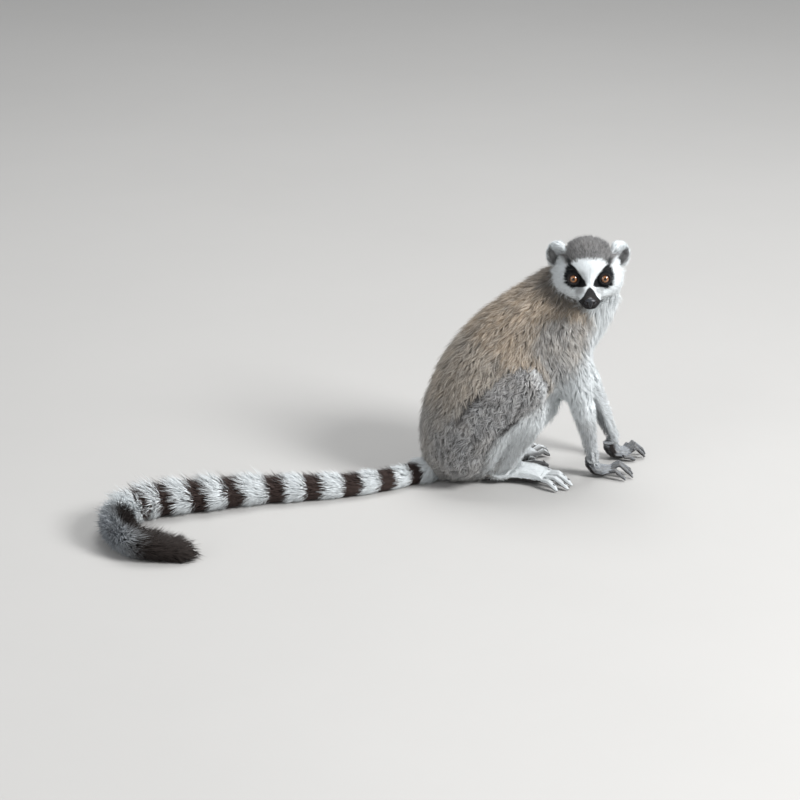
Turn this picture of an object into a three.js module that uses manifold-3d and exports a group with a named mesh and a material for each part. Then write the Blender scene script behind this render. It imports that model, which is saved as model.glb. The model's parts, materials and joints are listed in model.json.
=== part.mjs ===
// A ring-tailed lemur at life size, sitting on its haunches with both hands on the ground
// and its head turned over its right shoulder. Millimetres, +X forward, +Y to the animal's
// left, +Z up. The origin is on the ground under the seat.
//
// Every solid is the outer surface of the coat. Trunk, neck, thighs and upper arms are one
// smooth field, turned into a mesh by marching cubes and then parted where the joints lie.
// The head is a finer field of its own. Shanks, forearms, tail, palms, soles and digits
// are lofts.
import * as THREE from "three";
import { edgeTable, triTable } from "three/addons/objects/MarchingCubes.js";
import { mergeVertices } from "three/addons/utils/BufferGeometryUtils.js";
import Module from "manifold-3d";

const wasm = await Module();
wasm.setup();

// ---------------------------------------------------------------- driving dimensions

const GAP = 0.4; // between neighbouring pieces at a flat cut
const CLEARANCE = 0.7; // by which a piece grows before it is cut out of its neighbour
const BODY_CELL = 18.4; // marching-cubes cell of the trunk, thighs and upper arms
const HEAD_CELL = 7.9; // and of the head
const LIMB_SIDES = 9; // of a shank or forearm
const PAW_SIDES = 10;
const DIGIT_SIDES = 6;
const REGION_MARGIN = 7; // how far the shape that parts a limb stands outside it

const TAIL_BUSH = 25; // radius of its coat at the bushiest
const TAIL_PRESSED = 0.93; // height of its middle over the ground, as a share of its radius
const TAIL_LOWEST = 8; // least height of its middle
const TAIL_ROOT = [9, 0.04]; // how far its root is lifted, and the share that this takes in
const TAIL_SIDES = 10;
const TAIL_STEPS = 5; // rings in each piece
const TAIL_PIECES = 6;

const EYE_RADIUS = 8.2;
const EYE_CLEARANCE = 0.4;
const EYE_AT = [25, 18.8, -3.5]; // in the head's frame: forward, to its left, up

const HEAD_AT = [149.2, -29.2, 275.5]; // centre of the skull
const HEAD_TURN = -99; // degrees from +X, about +Z
const EAR_AT = [-4, 36, 16.8]; // the left ear, in the head's frame
const EAR_LEAN = [-14, -6, 26]; // its turns about X, Y and Z, in degrees

const FINGER_RADIUS = 3.6;
const TOE_RADIUS = 4.6;
const BIG_TOE_RADIUS = 6.2;

// The trunk's stations, from the seat to the throat. Each has its half depth in the plane
// of symmetry and its half width across the body.
const TRUNK = [
  { at: [-4, 0, 28], deep: 33, wide: 33 },
  { at: [0, 0, 51], deep: 55, wide: 54 },
  { at: [17, 0, 88], deep: 70, wide: 64 },
  { at: [39.5, 0, 124], deep: 78, wide: 65 },
  { at: [66, 0, 158], deep: 76, wide: 61 },
  { at: [96.5, 0, 190], deep: 67.5, wide: 55 },
  { at: [125, 0, 213], deep: 61.5, wide: 50 },
  { at: [143, -2, 234.5], deep: 52, wide: 45 },
];

const NECK = [
  { at: [136, -2, 218], deep: 48, wide: 43 },
  { at: [144, -9, 237], deep: 39.5, wide: 37 },
  { at: [147, -18, 256], deep: 30, wide: 28 },
];

// The limbs of the right side, y negative. The left leg mirrors the right one.
const THIGH = [
  { at: [-2, -42, 51], deep: 39, wide: 27 },
  { at: [18, -49, 80], deep: 37, wide: 27 },
  { at: [45, -56, 111], deep: 33, wide: 26 },
  { at: [71, -60, 136], deep: 30, wide: 25 },
];
const SHANK = [
  { at: [72, -60, 134], deep: 27, wide: 24 },
  { at: [69, -54, 90], deep: 27, wide: 22 },
  { at: [55, -38, 54], deep: 22.5, wide: 18 },
  { at: [42, -25, 22], deep: 18, wide: 15 },
];
const ARM_RIGHT = {
  upper: [
    { at: [120, -36, 196], deep: 36, wide: 24 },
    { at: [132, -43, 152], deep: 28, wide: 21 },
    { at: [142, -46, 106], deep: 19, wide: 18 },
  ],
  lower: [
    { at: [142, -46, 106], deep: 19, wide: 17 },
    { at: [152, -36, 64], deep: 13, wide: 13 },
    { at: [161, -22, 27], deep: 9.8, wide: 9.8 },
  ],
};
const ARM_LEFT = {
  upper: [
    { at: [126, 36, 198], deep: 36, wide: 24 },
    { at: [148, 45, 154], deep: 26, wide: 21 },
    { at: [166, 49, 109], deep: 19, wide: 18 },
  ],
  lower: [
    { at: [166, 49, 109], deep: 19, wide: 17 },
    { at: [186, 44, 65], deep: 14, wide: 13.5 },
    { at: [202, 38, 26], deep: 9.6, wide: 9.8 },
  ],
};

// Each hand stands on the ground at its palm's centre and points along its heading. Its
// inner side is +1 where that is its left, and reach is how far its fingers stretch.
const HAND_RIGHT = { at: [169, -20, 0], heading: -13, inner: 1, reach: 1 };
const HAND_LEFT = { at: [204, 36, 0], heading: 13, inner: -1, reach: 0.86 };
const FOOT_RIGHT = { at: [32, -17, 0], heading: -10, inner: 1, reach: 1 };
const FOOT_LEFT = { at: [30, 24, 0], heading: 16, inner: -1, reach: 1 };

// The tail's centre line on the ground, from inside the rump to the tip of the plume.
const TAIL_LINE = [
  [-24, 8],
  [-42, 7],
  [-84, -17],
  [-122, -30],
  [-166, -38],
  [-212, -41],
  [-268, -44],
  [-319, -54],
  [-362, -60],
  [-400, -70],
  [-426, -90],
  [-440, -125],
  [-437, -166],
  [-420, -194],
  [-394, -204],
  [-352, -209],
];

// Places along the tail, as shares of its length, with the share of TAIL_BUSH there.
const TAIL_SWELL = [
  [0.0, 0.52],
  [0.12, 0.6],
  [0.22, 0.66],
  [0.4, 0.82],
  [0.5, 0.95],
  [0.62, 1.0],
  [0.7, 1.0],
  [0.85, 0.88],
  [0.93, 0.78],
  [0.98, 0.55],
  [1.0, 0.3],
];

// ---------------------------------------------------------------- vectors

const v = (p) => new THREE.Vector3(...p);
const lerp = THREE.MathUtils.lerp;
const radians = THREE.MathUtils.degToRad;
const mirrored = ([x, y, z]) => [x, -y, z];
const mirroredStations = (list) =>
  list.map((s) => ({ ...s, at: mirrored(s.at) }));

// Matrix of a frame that stands at a point and is turned about +Z.
function frameAt(at, heading) {
  return new THREE.Matrix4()
    .makeRotationZ(radians(heading))
    .setPosition(...at);
}

// ---------------------------------------------------------------- distance fields

// A smooth curve through the stations, with the half depth and half width along it.
function resample(stations, steps) {
  const line = new THREE.CatmullRomCurve3(
    stations.map((s) => v(s.at)),
    false,
    "centripetal",
  );
  const spans = stations.length - 1;
  return Array.from({ length: spans * steps + 1 }, (_, i) => {
    const at = i / steps;
    const span = Math.min(Math.floor(at), spans - 1);
    const along = at - span;
    const [a, b] = [stations[span], stations[span + 1]];
    return {
      at: line.getPoint(at / spans),
      deep: lerp(a.deep, b.deep, along),
      wide: lerp(a.wide, b.wide, along),
    };
  });
}

// Distance to an ellipse or ellipsoid, near enough for blending. The inputs are the sums
// of the squares of (offset / radius) and of (offset / radius squared).
function ellipticDistance(overRadius, overSquare) {
  const k0 = Math.sqrt(overRadius);
  const k1 = Math.sqrt(overSquare);
  return k1 > 1e-9 ? (k0 * (k0 - 1)) / k1 : -1;
}

// A limb or trunk with elliptic sections. Widths lie along Y.
function sweep(stations, steps = 3) {
  const list = resample(stations, steps);
  return (x, y, z) => {
    let best = Infinity;
    for (let i = 0; i + 1 < list.length; i++) {
      const { at: a, deep: deepA, wide: wideA } = list[i];
      const { at: b, deep: deepB, wide: wideB } = list[i + 1];
      const [dx, dy, dz] = [b.x - a.x, b.y - a.y, b.z - a.z];
      const [px, py, pz] = [x - a.x, y - a.y, z - a.z];
      const length2 = dx * dx + dy * dy + dz * dz;
      const t = THREE.MathUtils.clamp(
        (px * dx + py * dy + pz * dz) / length2,
        0,
        1,
      );
      const deep2 = lerp(deepA, deepB, t) ** 2;
      const wide2 = lerp(wideA, wideB, t) ** 2;
      const across2 = (py - t * dy) ** 2;
      const rest2 = (px - t * dx) ** 2 + (pz - t * dz) ** 2;
      best = Math.min(
        best,
        ellipticDistance(
          across2 / wide2 + rest2 / deep2,
          across2 / wide2 ** 2 + rest2 / deep2 ** 2,
        ),
      );
    }
    return best;
  };
}

function ellipsoid([cx, cy, cz], [rx, ry, rz]) {
  return (x, y, z) => {
    const [a, b, c] = [(x - cx) / rx, (y - cy) / ry, (z - cz) / rz];
    return ellipticDistance(
      a * a + b * b + c * c,
      (a / rx) ** 2 + (b / ry) ** 2 + (c / rz) ** 2,
    );
  };
}

// Union of fields whose seams are filled to a radius.
function blend(radius, ...fields) {
  return (x, y, z) =>
    fields
      .map((field) => field(x, y, z))
      .reduce((a, b) => {
        const near = Math.max(radius - Math.abs(a - b), 0) / radius;
        return Math.min(a, b) - (near * near * radius) / 4;
      });
}

// A field with another cut out of it, the edge rounded to a radius.
function hollowed(field, cut, radius) {
  return (x, y, z) => {
    const [a, b] = [field(x, y, z), -cut(x, y, z)];
    const near = Math.max(radius - Math.abs(a - b), 0) / radius;
    return Math.max(a, b) + (near * near * radius) / 4;
  };
}

// ---------------------------------------------------------------- meshes and solids

// Each edge of a marching-cubes cell: its first corner, and the axis that it runs along.
const CELL_EDGES = [
  [0, 0, 0, 0],
  [1, 0, 0, 1],
  [0, 1, 0, 0],
  [0, 0, 0, 1],
  [0, 0, 1, 0],
  [1, 0, 1, 1],
  [0, 1, 1, 0],
  [0, 0, 1, 1],
  [0, 0, 0, 2],
  [1, 0, 0, 2],
  [1, 1, 0, 2],
  [0, 1, 0, 2],
];
// Each corner of a cell, with its bit in the tables' case number.
const CELL_CORNERS = [
  [0, 0, 0],
  [1, 0, 0],
  [1, 1, 0],
  [0, 1, 0],
  [0, 0, 1],
  [1, 0, 1],
  [1, 1, 1],
  [0, 1, 1],
];
const SNAP = 0.3; // a vertex nearer than this share of an edge to a corner joins it
const PROBE = 0.5; // step for slopes

// The zero surface of a field, as a closed solid.
function solidOfField(field, low, high, cell) {
  const count = [0, 1, 2].map((k) => Math.ceil((high[k] - low[k]) / cell) + 1);
  const index = (i, j, k) => i + count[0] * (j + count[1] * k);
  const values = new Float64Array(count[0] * count[1] * count[2]);
  for (let k = 0; k < count[2]; k++)
    for (let j = 0; j < count[1]; j++)
      for (let i = 0; i < count[0]; i++)
        values[index(i, j, k)] = field(
          low[0] + i * cell,
          low[1] + j * cell,
          low[2] + k * cell,
        );

  // A grid corner near the surface, moved onto it down the slope.
  const settled = (corner) => {
    const at = corner.map((n, m) => low[m] + n * cell);
    const here = values[index(...corner)];
    const slope = [0, 1, 2].map((m) => {
      const probe = [...at];
      probe[m] += PROBE;
      return (field(...probe) - here) / PROBE;
    });
    const steep = Math.hypot(...slope);
    const step = THREE.MathUtils.clamp(here / steep, -SNAP * cell, SNAP * cell);
    return at.map((n, m) => n - (step * slope[m]) / steep);
  };

  const positions = [];
  const faces = [];
  const made = new Map();
  const cut = (i, j, k, axis) => {
    const key = index(i, j, k) * 3 + axis;
    if (!made.has(key)) {
      const start = [i, j, k];
      const end = [i, j, k];
      end[axis] += 1;
      const [a, b] = [values[index(...start)], values[index(...end)]];
      const share = a / (a - b);
      const between = start.map((n, m) => low[m] + n * cell);
      between[axis] += share * cell;
      made.set(key, positions.length / 3);
      if (share < SNAP) positions.push(...settled(start));
      else if (share > 1 - SNAP) positions.push(...settled(end));
      else positions.push(...between);
    }
    return made.get(key);
  };

  for (let k = 0; k + 1 < count[2]; k++)
    for (let j = 0; j + 1 < count[1]; j++)
      for (let i = 0; i + 1 < count[0]; i++) {
        let kind = 0;
        CELL_CORNERS.forEach(([a, b, c], bit) => {
          if (values[index(i + a, j + b, k + c)] < 0) kind |= 1 << bit;
        });
        if (!edgeTable[kind]) continue;
        for (let t = kind * 16; triTable[t] !== -1; t++) {
          const [a, b, c, axis] = CELL_EDGES[triTable[t]];
          faces.push(cut(i + a, j + b, k + c, axis));
        }
      }
  return facingOut(positions, faces);
}

// A closed solid of a vertex list and a face list, whichever way the faces wind.
function facingOut(positions, faces) {
  const build = (triangles) =>
    new wasm.Manifold(
      new wasm.Mesh({
        numProp: 3,
        vertProperties: new Float32Array(positions),
        triVerts: new Uint32Array(triangles),
      }),
    );
  const made = build(faces);
  if (made.volume() > 0) return made;
  return build(faces.map((_, i) => faces[i - (i % 3) + 2 - (i % 3)]));
}

function solidOfGeometry(geometry) {
  const bare = geometry.clone();
  bare.deleteAttribute("normal");
  bare.deleteAttribute("uv");
  const merged = mergeVertices(bare, 1e-4);
  return facingOut(merged.attributes.position.array, [...merged.index.array]);
}

function geometryOf(solid) {
  const mesh = solid.getMesh();
  const geometry = new THREE.BufferGeometry()
    .setAttribute(
      "position",
      new THREE.BufferAttribute(new Float32Array(mesh.vertProperties), 3),
    )
    .setIndex(new THREE.BufferAttribute(new Uint32Array(mesh.triVerts), 1));
  geometry.computeVertexNormals();
  return geometry;
}

// The same solid with each vertex moved out along its normal.
function inflated(solid, by) {
  const geometry = geometryOf(solid);
  const at = geometry.attributes.position.array;
  const normal = geometry.attributes.normal.array;
  return facingOut(
    at.map((n, i) => n + by * normal[i]),
    [...geometry.index.array],
  );
}

function moved(solid, matrix) {
  return solidOfGeometry(geometryOf(solid).applyMatrix4(matrix));
}

// The largest of a solid's separate bodies.
function largest(solid) {
  return solid
    .decompose()
    .reduce((best, body) => (body.volume() > best.volume() ? body : best));
}

function without(solid, ...others) {
  return others.reduce((left, other) => left.subtract(other), solid);
}

// A block that fills the half space beyond a plane, and half the gap on this side of it.
function beyond(at, direction) {
  const size = 1200;
  const turn = new THREE.Quaternion().setFromUnitVectors(
    new THREE.Vector3(0, 0, 1),
    v(direction).normalize(),
  );
  const block = new THREE.BoxGeometry(size, size, size);
  block.translate(0, 0, size / 2 - GAP / 2);
  block.applyQuaternion(turn);
  block.translate(...at);
  return solidOfGeometry(block);
}

const ground = (() => {
  const block = new THREE.BoxGeometry(1600, 1600, 200);
  block.translate(0, 0, -100);
  return solidOfGeometry(block);
})();

const onGround = (solid) => largest(solid.subtract(ground));

// A closed loft through stations {at, wide, deep}. Widths lie along the side vector. A
// station may name its own direction.
function loft(stations, sides, side = [0, 1, 0]) {
  const centres = stations.map((s) => v(s.at));
  const positions = [];
  stations.forEach((station, i) => {
    const ahead = centres[Math.min(i + 1, centres.length - 1)];
    const behind = centres[Math.max(i - 1, 0)];
    const along = station.along ?? ahead.clone().sub(behind).normalize();
    const up = along.clone().cross(v(side)).normalize();
    const across = up.clone().cross(along);
    for (let k = 0; k < sides; k++) {
      const angle = (2 * Math.PI * (k + 0.5)) / sides;
      const point = centres[i]
        .clone()
        .addScaledVector(across, station.wide * Math.cos(angle))
        .addScaledVector(up, station.deep * Math.sin(angle));
      positions.push(...point.toArray());
    }
  });
  const faces = [];
  const ring = (i, k) => i * sides + (k % sides);
  for (let i = 0; i + 1 < stations.length; i++)
    for (let k = 0; k < sides; k++)
      faces.push(
        ...[ring(i, k), ring(i + 1, k), ring(i + 1, k + 1)],
        ...[ring(i, k), ring(i + 1, k + 1), ring(i, k + 1)],
      );
  const last = stations.length - 1;
  for (let k = 1; k + 1 < sides; k++)
    faces.push(
      ...[ring(0, 0), ring(0, k), ring(0, k + 1)],
      ...[ring(last, 0), ring(last, k + 1), ring(last, k)],
    );
  return facingOut(positions, faces);
}

// Places along a digit, with the share of its radius there.
const DIGIT_SWELL = [
  [0, 0.92],
  [0.45, 1.05],
  [0.82, 0.95],
  [1.0, 0.5],
];
const DIGIT_FLAT = 0.92; // depth next to width

// Stations of a digit: a smooth line through its joints, round at the tip.
function digitStations(joints, radius) {
  const line = new THREE.CatmullRomCurve3(joints.map(v), false, "centripetal");
  return DIGIT_SWELL.map(([t, share]) => ({
    at: line.getPoint(t).toArray(),
    wide: radius * share,
    deep: radius * share * DIGIT_FLAT,
  }));
}

// ---------------------------------------------------------------- head

// In the head's own frame: X forward from the skull's centre, Y to its left, Z up.
function headField() {
  const skull = ellipsoid([-3, 0, 4], [39, 36.5, 35.2]);
  const brow = ellipsoid([10, 0, 0], [24, 31, 21]);
  const cheeks = [-1, 1].map((s) =>
    ellipsoid([1, 24 * s, -12], [26, 20, 21.5]),
  );
  const muzzle = sweep([
    { at: [14, 0, -10], deep: 21, wide: 22 },
    { at: [34, 0, -16], deep: 14.5, wide: 15.5 },
    { at: [48, 0, -20.5], deep: 12.3, wide: 13.5 },
    { at: [57, 0, -23], deep: 10.4, wide: 11.8 },
  ]);
  const jaw = ellipsoid([18, 0, -27], [32, 15, 10]);
  const jowls = [-1, 1].map((s) =>
    ellipsoid([11, 15 * s, -19], [20, 14, 13.5]),
  );
  const orbits = [-1, 1].map((s) =>
    ellipsoid([EYE_AT[0] + 12, EYE_AT[1] * s, EYE_AT[2]], [9, 12, 10]),
  );
  return hollowed(
    blend(8, blend(12, skull, brow, ...cheeks), blend(8, muzzle, jaw, ...jowls)),
    blend(1, ...orbits),
    7,
  );
}

// What lies under the line of the mouth, from the lips back to the cheeks.
function jawBlock(gap) {
  const [reach, width, drop] = [60, 27, 30];
  const block = new THREE.BoxGeometry(reach + 2 * gap, width + 2 * gap, drop);
  block.translate(reach / 2, 0, gap - drop / 2);
  block.rotateY(radians(5));
  block.translate(27, 0, -24);
  return solidOfGeometry(block);
}

function headParts(neckSolid) {
  const place = frameAt(HEAD_AT, HEAD_TURN);
  const neck = moved(inflated(neckSolid, CLEARANCE), place.clone().invert());
  const whole = solidOfField(
    headField(),
    [-52, -54, -46],
    [78, 54, 50],
    HEAD_CELL,
  );

  const ball = ([rx, ry, rz], [x, y, z], [around, down] = [10, 7]) => {
    const sphere = new THREE.SphereGeometry(1, around, down);
    sphere.scale(rx, ry, rz);
    sphere.translate(x, y, z);
    return solidOfGeometry(sphere);
  };
  const eye = (s, radius) =>
    ball([radius, radius, radius], [EYE_AT[0], EYE_AT[1] * s, EYE_AT[2]]);
  const nose = ball([7, 8.4, 6.6], [60.5, 0, -20.5], [8, 6]);
  const nostrils = [-1, 1].map((s) =>
    ball([3.2, 1.5, 1.8], [66.5, 4.2 * s, -21.5], [6, 4]),
  );

  const sockets = [-1, 1].map((s) => eye(s, EYE_RADIUS + EYE_CLEARANCE));
  const face = without(whole, neck, ...sockets, inflated(nose, CLEARANCE));
  const parts = {
    head: largest(face.subtract(jawBlock(GAP))),
    lower_jaw: largest(face.intersect(jawBlock(0))),
    nose: without(nose, ...nostrils),
    eye_right: eye(-1, EYE_RADIUS),
    eye_left: eye(1, EYE_RADIUS),
    ear_right: largest(ear(-1, whole).subtract(neck)),
    ear_left: largest(ear(1, whole).subtract(neck)),
  };
  for (const name in parts) parts[name] = moved(parts[name], place);
  return parts;
}

// A cupped ear that opens forward and outward, with a pointed tuft at its upper edge.
function ear(s, headSolid) {
  const cupSide = ([rx, ry, rz], ahead) => {
    const made = new THREE.SphereGeometry(1, 10, 7);
    made.scale(rx, ry, rz);
    made.translate(ahead, 0, 0);
    return solidOfGeometry(made);
  };
  const tuft = new THREE.ConeGeometry(4.5, 13, 5);
  tuft.rotateX(radians(90));
  tuft.translate(-1.5, -1.5 * s, 18);
  const cup = cupSide([9, 14, 16.4], 0)
    .add(solidOfGeometry(tuft))
    .subtract(cupSide([8.5, 11, 13.5], 5));
  const [x, y, z] = EAR_LEAN.map(radians);
  const place = new THREE.Matrix4()
    .makeRotationFromEuler(new THREE.Euler(x * s, y, z * s, "ZYX"))
    .setPosition(EAR_AT[0], EAR_AT[1] * s, EAR_AT[2]);
  return largest(moved(cup, place).subtract(inflated(headSolid, CLEARANCE)));
}

// ---------------------------------------------------------------- trunk and limbs

const LIMBS = [
  { names: ["thigh_right", "shank_right"], upper: THIGH, lower: SHANK },
  {
    names: ["thigh_left", "shank_left"],
    upper: mirroredStations(THIGH),
    lower: mirroredStations(SHANK),
  },
  { names: ["upper_arm_right", "forearm_right"], ...ARM_RIGHT },
  { names: ["upper_arm_left", "forearm_left"], ...ARM_LEFT },
];

// The trunk with the thighs and upper arms. Shanks and forearms are lofts of their own.
function bodyField() {
  const trunk = blend(
    16,
    sweep(TRUNK),
    sweep(NECK),
    ellipsoid([158, -9, 234], [32, 32, 28]), // the ruff of the throat
    ellipsoid([83, 0, 91], [41, 38, 34]), // the hanging belly
  );
  const [thighRight, thighLeft, armRight, armLeft] = LIMBS.map(({ upper }) =>
    sweep(upper),
  );
  return blend(
    13,
    blend(8, trunk, thighRight, thighLeft),
    armRight,
    armLeft,
  );
}

// Smooth stations for a loft, grown by a margin and with rounded ends.
function limbStations(stations, margin, roundness) {
  const list = resample(stations, 1).map(({ at, deep, wide }) => ({
    at: at.toArray(),
    deep: deep + margin,
    wide: wide + margin,
  }));
  const dome = (end, next) => {
    const out = v(end.at).sub(v(next.at)).normalize();
    return roundness.map(([reach, share]) => ({
      at: v(end.at).addScaledVector(out, reach * end.wide).toArray(),
      deep: end.deep * share,
      wide: end.wide * share,
    }));
  };
  const start = dome(list[0], list[1]).reverse();
  const end = dome(list.at(-1), list.at(-2));
  return [...start, ...list, ...end];
}

const ROUND_END = [
  [0.6, 0.82],
  [0.95, 0.35],
];

const limbLoft = (stations, margin = 0) =>
  loft(limbStations(stations, margin, ROUND_END), LIMB_SIDES);

// Parts a thigh or upper arm from the body, and sets its shank or forearm against it.
function partLimb(body, outer, { names, upper, lower }) {
  const region = limbLoft(upper, REGION_MARGIN);
  const lowerLimb = limbLoft(lower);
  return {
    parts: {
      [names[0]]: largest(body.intersect(region)),
      [names[1]]: onGround(without(lowerLimb, inflated(body, CLEARANCE), ...outer)),
    },
    rest: body.subtract(inflated(region, CLEARANCE)),
  };
}

// ---------------------------------------------------------------- hands and feet

// Stations and joints below are in a paw's own frame: X along its heading, Y to its inner
// side, Z up.
const PALM = [
  { at: [-10, 0, 25], wide: 8.8, deep: 8 },
  { at: [-9, 0, 17], wide: 9.2, deep: 8.2 },
  { at: [-3, 0, 9.6], wide: 11.5, deep: 8.6 },
  { at: [6, 0, 8], wide: 13, deep: 7.4 },
  { at: [15, 0, 9.6], wide: 12.5, deep: 4.6 },
];
const FINGERS = {
  thumb: [
    [4, 15.5, 6.5],
    [12, 17.5, 6.5],
    [19, 19.5, 1.7],
  ],
  index_finger: [
    [15.6, 9.4, 10],
    [25, 11.5, 15.5],
    [38, 13, 1.6],
  ],
  middle_finger: [
    [15.6, 3.2, 10],
    [28, 4, 18],
    [44, 4, 1.6],
  ],
  ring_finger: [
    [15.6, -3.2, 10],
    [28, -4.5, 18],
    [44, -7.5, 1.6],
  ],
  little_finger: [
    [15.6, -9.4, 9.6],
    [23, -13, 12.5],
    [35, -17, 1.6],
  ],
};
const SOLE = [
  { at: [-12, 0, 12], wide: 7, deep: 7 },
  { at: [-7, 0, 14], wide: 11.5, deep: 14 },
  { at: [10, 0, 15], wide: 13, deep: 15.5 },
  { at: [36, 0, 13.5], wide: 13.5, deep: 14 },
  { at: [57, -3, 12.5], wide: 17, deep: 12.5 },
  { at: [69, -8, 11.5], wide: 18, deep: 7.5 },
];
const TOES = {
  big_toe: [
    [46, 22.5, 7.5],
    [62, 26, 7],
    [79, 29, 2.9],
  ],
  second_toe: [
    [75.1, 5.2, 11],
    [86.2, 0.7, 11.5],
    [97.4, -3.8, 2.1],
  ],
  third_toe: [
    [71.5, -3.6, 11.5],
    [87.5, -11.8, 13],
    [102.7, -19.5, 2.1],
  ],
  fourth_toe: [
    [67.8, -12.4, 11.5],
    [82.7, -22.5, 12.5],
    [97.6, -32.5, 2.1],
  ],
  fifth_toe: [
    [64.2, -21.2, 10.5],
    [73.9, -29.9, 10.5],
    [83.5, -38.6, 2.1],
  ],
};

// A palm or sole with its five digits. The four longer digits start just off its front
// face, and the thumb or big toe lies against its inner side.
function paw(side, pose, base, baseName, digits, radiusOf) {
  const place = frameAt(pose.at, pose.heading);
  const knuckles = base.at(-1).at[0];
  const set = ([x, y, z]) => [
    x > knuckles ? knuckles + (x - knuckles) * pose.reach : x,
    y * pose.inner,
    z,
  ];
  const shell = loft(
    base.map((s) => ({ ...s, at: set(s.at) })),
    PAW_SIDES,
  );
  const clear = inflated(shell, CLEARANCE);
  const parts = { [`${baseName}_${side}`]: onGround(shell) };
  for (const [name, joints] of Object.entries(digits)) {
    const digit = loft(digitStations(joints.map(set), radiusOf(name)), DIGIT_SIDES);
    parts[`${name}_${side}`] = onGround(digit.subtract(clear));
  }
  for (const name in parts) parts[name] = moved(parts[name], place);
  return parts;
}

const fingerRadius = () => FINGER_RADIUS;
const toeRadius = (name) =>
  name === "big_toe" ? BIG_TOE_RADIUS : TOE_RADIUS;

// ---------------------------------------------------------------- tail

function swellAt(share) {
  const next = TAIL_SWELL.findIndex(([at]) => at >= share);
  if (next <= 0) return TAIL_SWELL[0][1];
  const [[a, low], [b, high]] = [TAIL_SWELL[next - 1], TAIL_SWELL[next]];
  return lerp(low, high, (share - a) / (b - a));
}

// The tail lies along the ground, and its lower side is pressed flat there.
function tailStation(line, share) {
  const radius = TAIL_BUSH * swellAt(share);
  const at = line.getPointAt(share);
  const [lifted, within] = TAIL_ROOT;
  const lift = lifted * Math.max(1 - share / within, 0);
  return {
    at: [at.x, at.y, Math.max(radius * TAIL_PRESSED, TAIL_LOWEST) + lift],
    along: line.getTangentAt(share),
    wide: radius,
    deep: radius,
  };
}

function tailParts() {
  const line = new THREE.CatmullRomCurve3(
    TAIL_LINE.map(([x, y]) => new THREE.Vector3(x, y, 0)),
    false,
    "centripetal",
  );
  const length = line.getLength();
  const parts = {};
  for (let i = 0; i < TAIL_PIECES; i++) {
    const from = i / TAIL_PIECES + (i ? GAP / 2 / length : 0);
    const isLast = i === TAIL_PIECES - 1;
    const to = (i + 1) / TAIL_PIECES - (isLast ? 0 : GAP / 2 / length);
    const stations = Array.from({ length: TAIL_STEPS + 1 }, (_, k) =>
      tailStation(line, lerp(from, to, k / TAIL_STEPS)),
    );
    const piece = loft(stations, TAIL_SIDES, [0, 0, 1]);
    parts[`tail_${i + 1}`] = onGround(piece);
  }
  return parts;
}

// ---------------------------------------------------------------- assembly

const COAT = {
  back: { color: 0x9a8f80, roughness: 0.95 },
  grey: { color: 0x8b8785, roughness: 0.95 },
  pale: { color: 0xc9c8c4, roughness: 0.95 },
  white: { color: 0xe6e6e2, roughness: 0.95 },
  ringed: { color: 0x5c5450, roughness: 0.95 },
  plume: { color: 0x2a2523, roughness: 0.95 },
  bareSkin: { color: 0x3a3b40, roughness: 0.6 },
  nose: { color: 0x17171a, roughness: 0.35 },
  eye: { color: 0xc2641c, roughness: 0.08 },
};

function coatOf(name) {
  if (name.startsWith("eye")) return COAT.eye;
  if (name === "nose") return COAT.nose;
  if (name === "tail_6") return COAT.plume;
  if (name.startsWith("tail")) return COAT.ringed;
  if (/finger|thumb|hand/.test(name)) return COAT.bareSkin;
  if (/toe|foot|forearm|shank/.test(name)) return COAT.pale;
  if (/head|jaw|ear_/.test(name)) return COAT.white;
  if (/thigh|hindquarters/.test(name)) return COAT.grey;
  return COAT.back;
}

function assemble() {
  const paws = {
    ...paw("right", HAND_RIGHT, PALM, "hand", FINGERS, fingerRadius),
    ...paw("left", HAND_LEFT, PALM, "hand", FINGERS, fingerRadius),
    ...paw("right", FOOT_RIGHT, SOLE, "foot", TOES, toeRadius),
    ...paw("left", FOOT_LEFT, SOLE, "foot", TOES, toeRadius),
  };
  const tail = tailParts();

  const field = solidOfField(
    bodyField(),
    [-70, -105, -30],
    [225, 105, 310],
    BODY_CELL,
  );
  const feet = Object.keys(paws)
    .filter((name) => /hand|foot|big_toe/.test(name))
    .map((name) => inflated(paws[name], CLEARANCE));
  const whole = onGround(
    without(field, inflated(tail.tail_1, CLEARANCE), ...feet),
  );
  const head = headParts(whole);

  const limbPieces = {};
  let torso = whole;
  for (const limb of LIMBS) {
    const { parts, rest } = partLimb(torso, feet, limb);
    Object.assign(limbPieces, parts);
    torso = rest;
  }
  torso = largest(torso);

  // The trunk is parted across its axis.
  const parts = {};
  const cuts = [
    { name: "hindquarters", at: TRUNK[2].at, along: [0.45, 0, 0.9] },
    { name: "belly", at: TRUNK[4].at, along: [0.62, 0, 0.78] },
    { name: "chest", at: TRUNK[7].at, along: [0.35, 0, 0.94] },
  ];
  for (const { name, at, along } of cuts) {
    parts[name] = largest(torso.subtract(beyond(at, along)));
    torso = torso.subtract(beyond(at, along.map((n) => -n)));
  }
  parts.neck = largest(torso);
  return { ...head, ...parts, ...limbPieces, ...paws, ...tail };
}

const lemur = new THREE.Group();
lemur.name = "ring_tailed_lemur";
for (const [name, solid] of Object.entries(assemble())) {
  const material = new THREE.MeshStandardMaterial({
    ...coatOf(name),
    metalness: 0,
  });
  const mesh = new THREE.Mesh(geometryOf(solid), material);
  mesh.name = name;
  lemur.add(mesh);
}

export default lemur;
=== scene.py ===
"""Looks of a life-size ring-tailed lemur that sits on its haunches and leans on its hands.

One skin stands for the flesh. Over it lie coats of hair: each tuft is a thin closed spike that
grows from the skin, follows the lie of the coat and ends at the animal's outline. Eyes, nose,
nails and whiskers are pieces of their own. Shapes are worked out in millimetres and turned
into metres when a mesh is made.
"""

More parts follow.
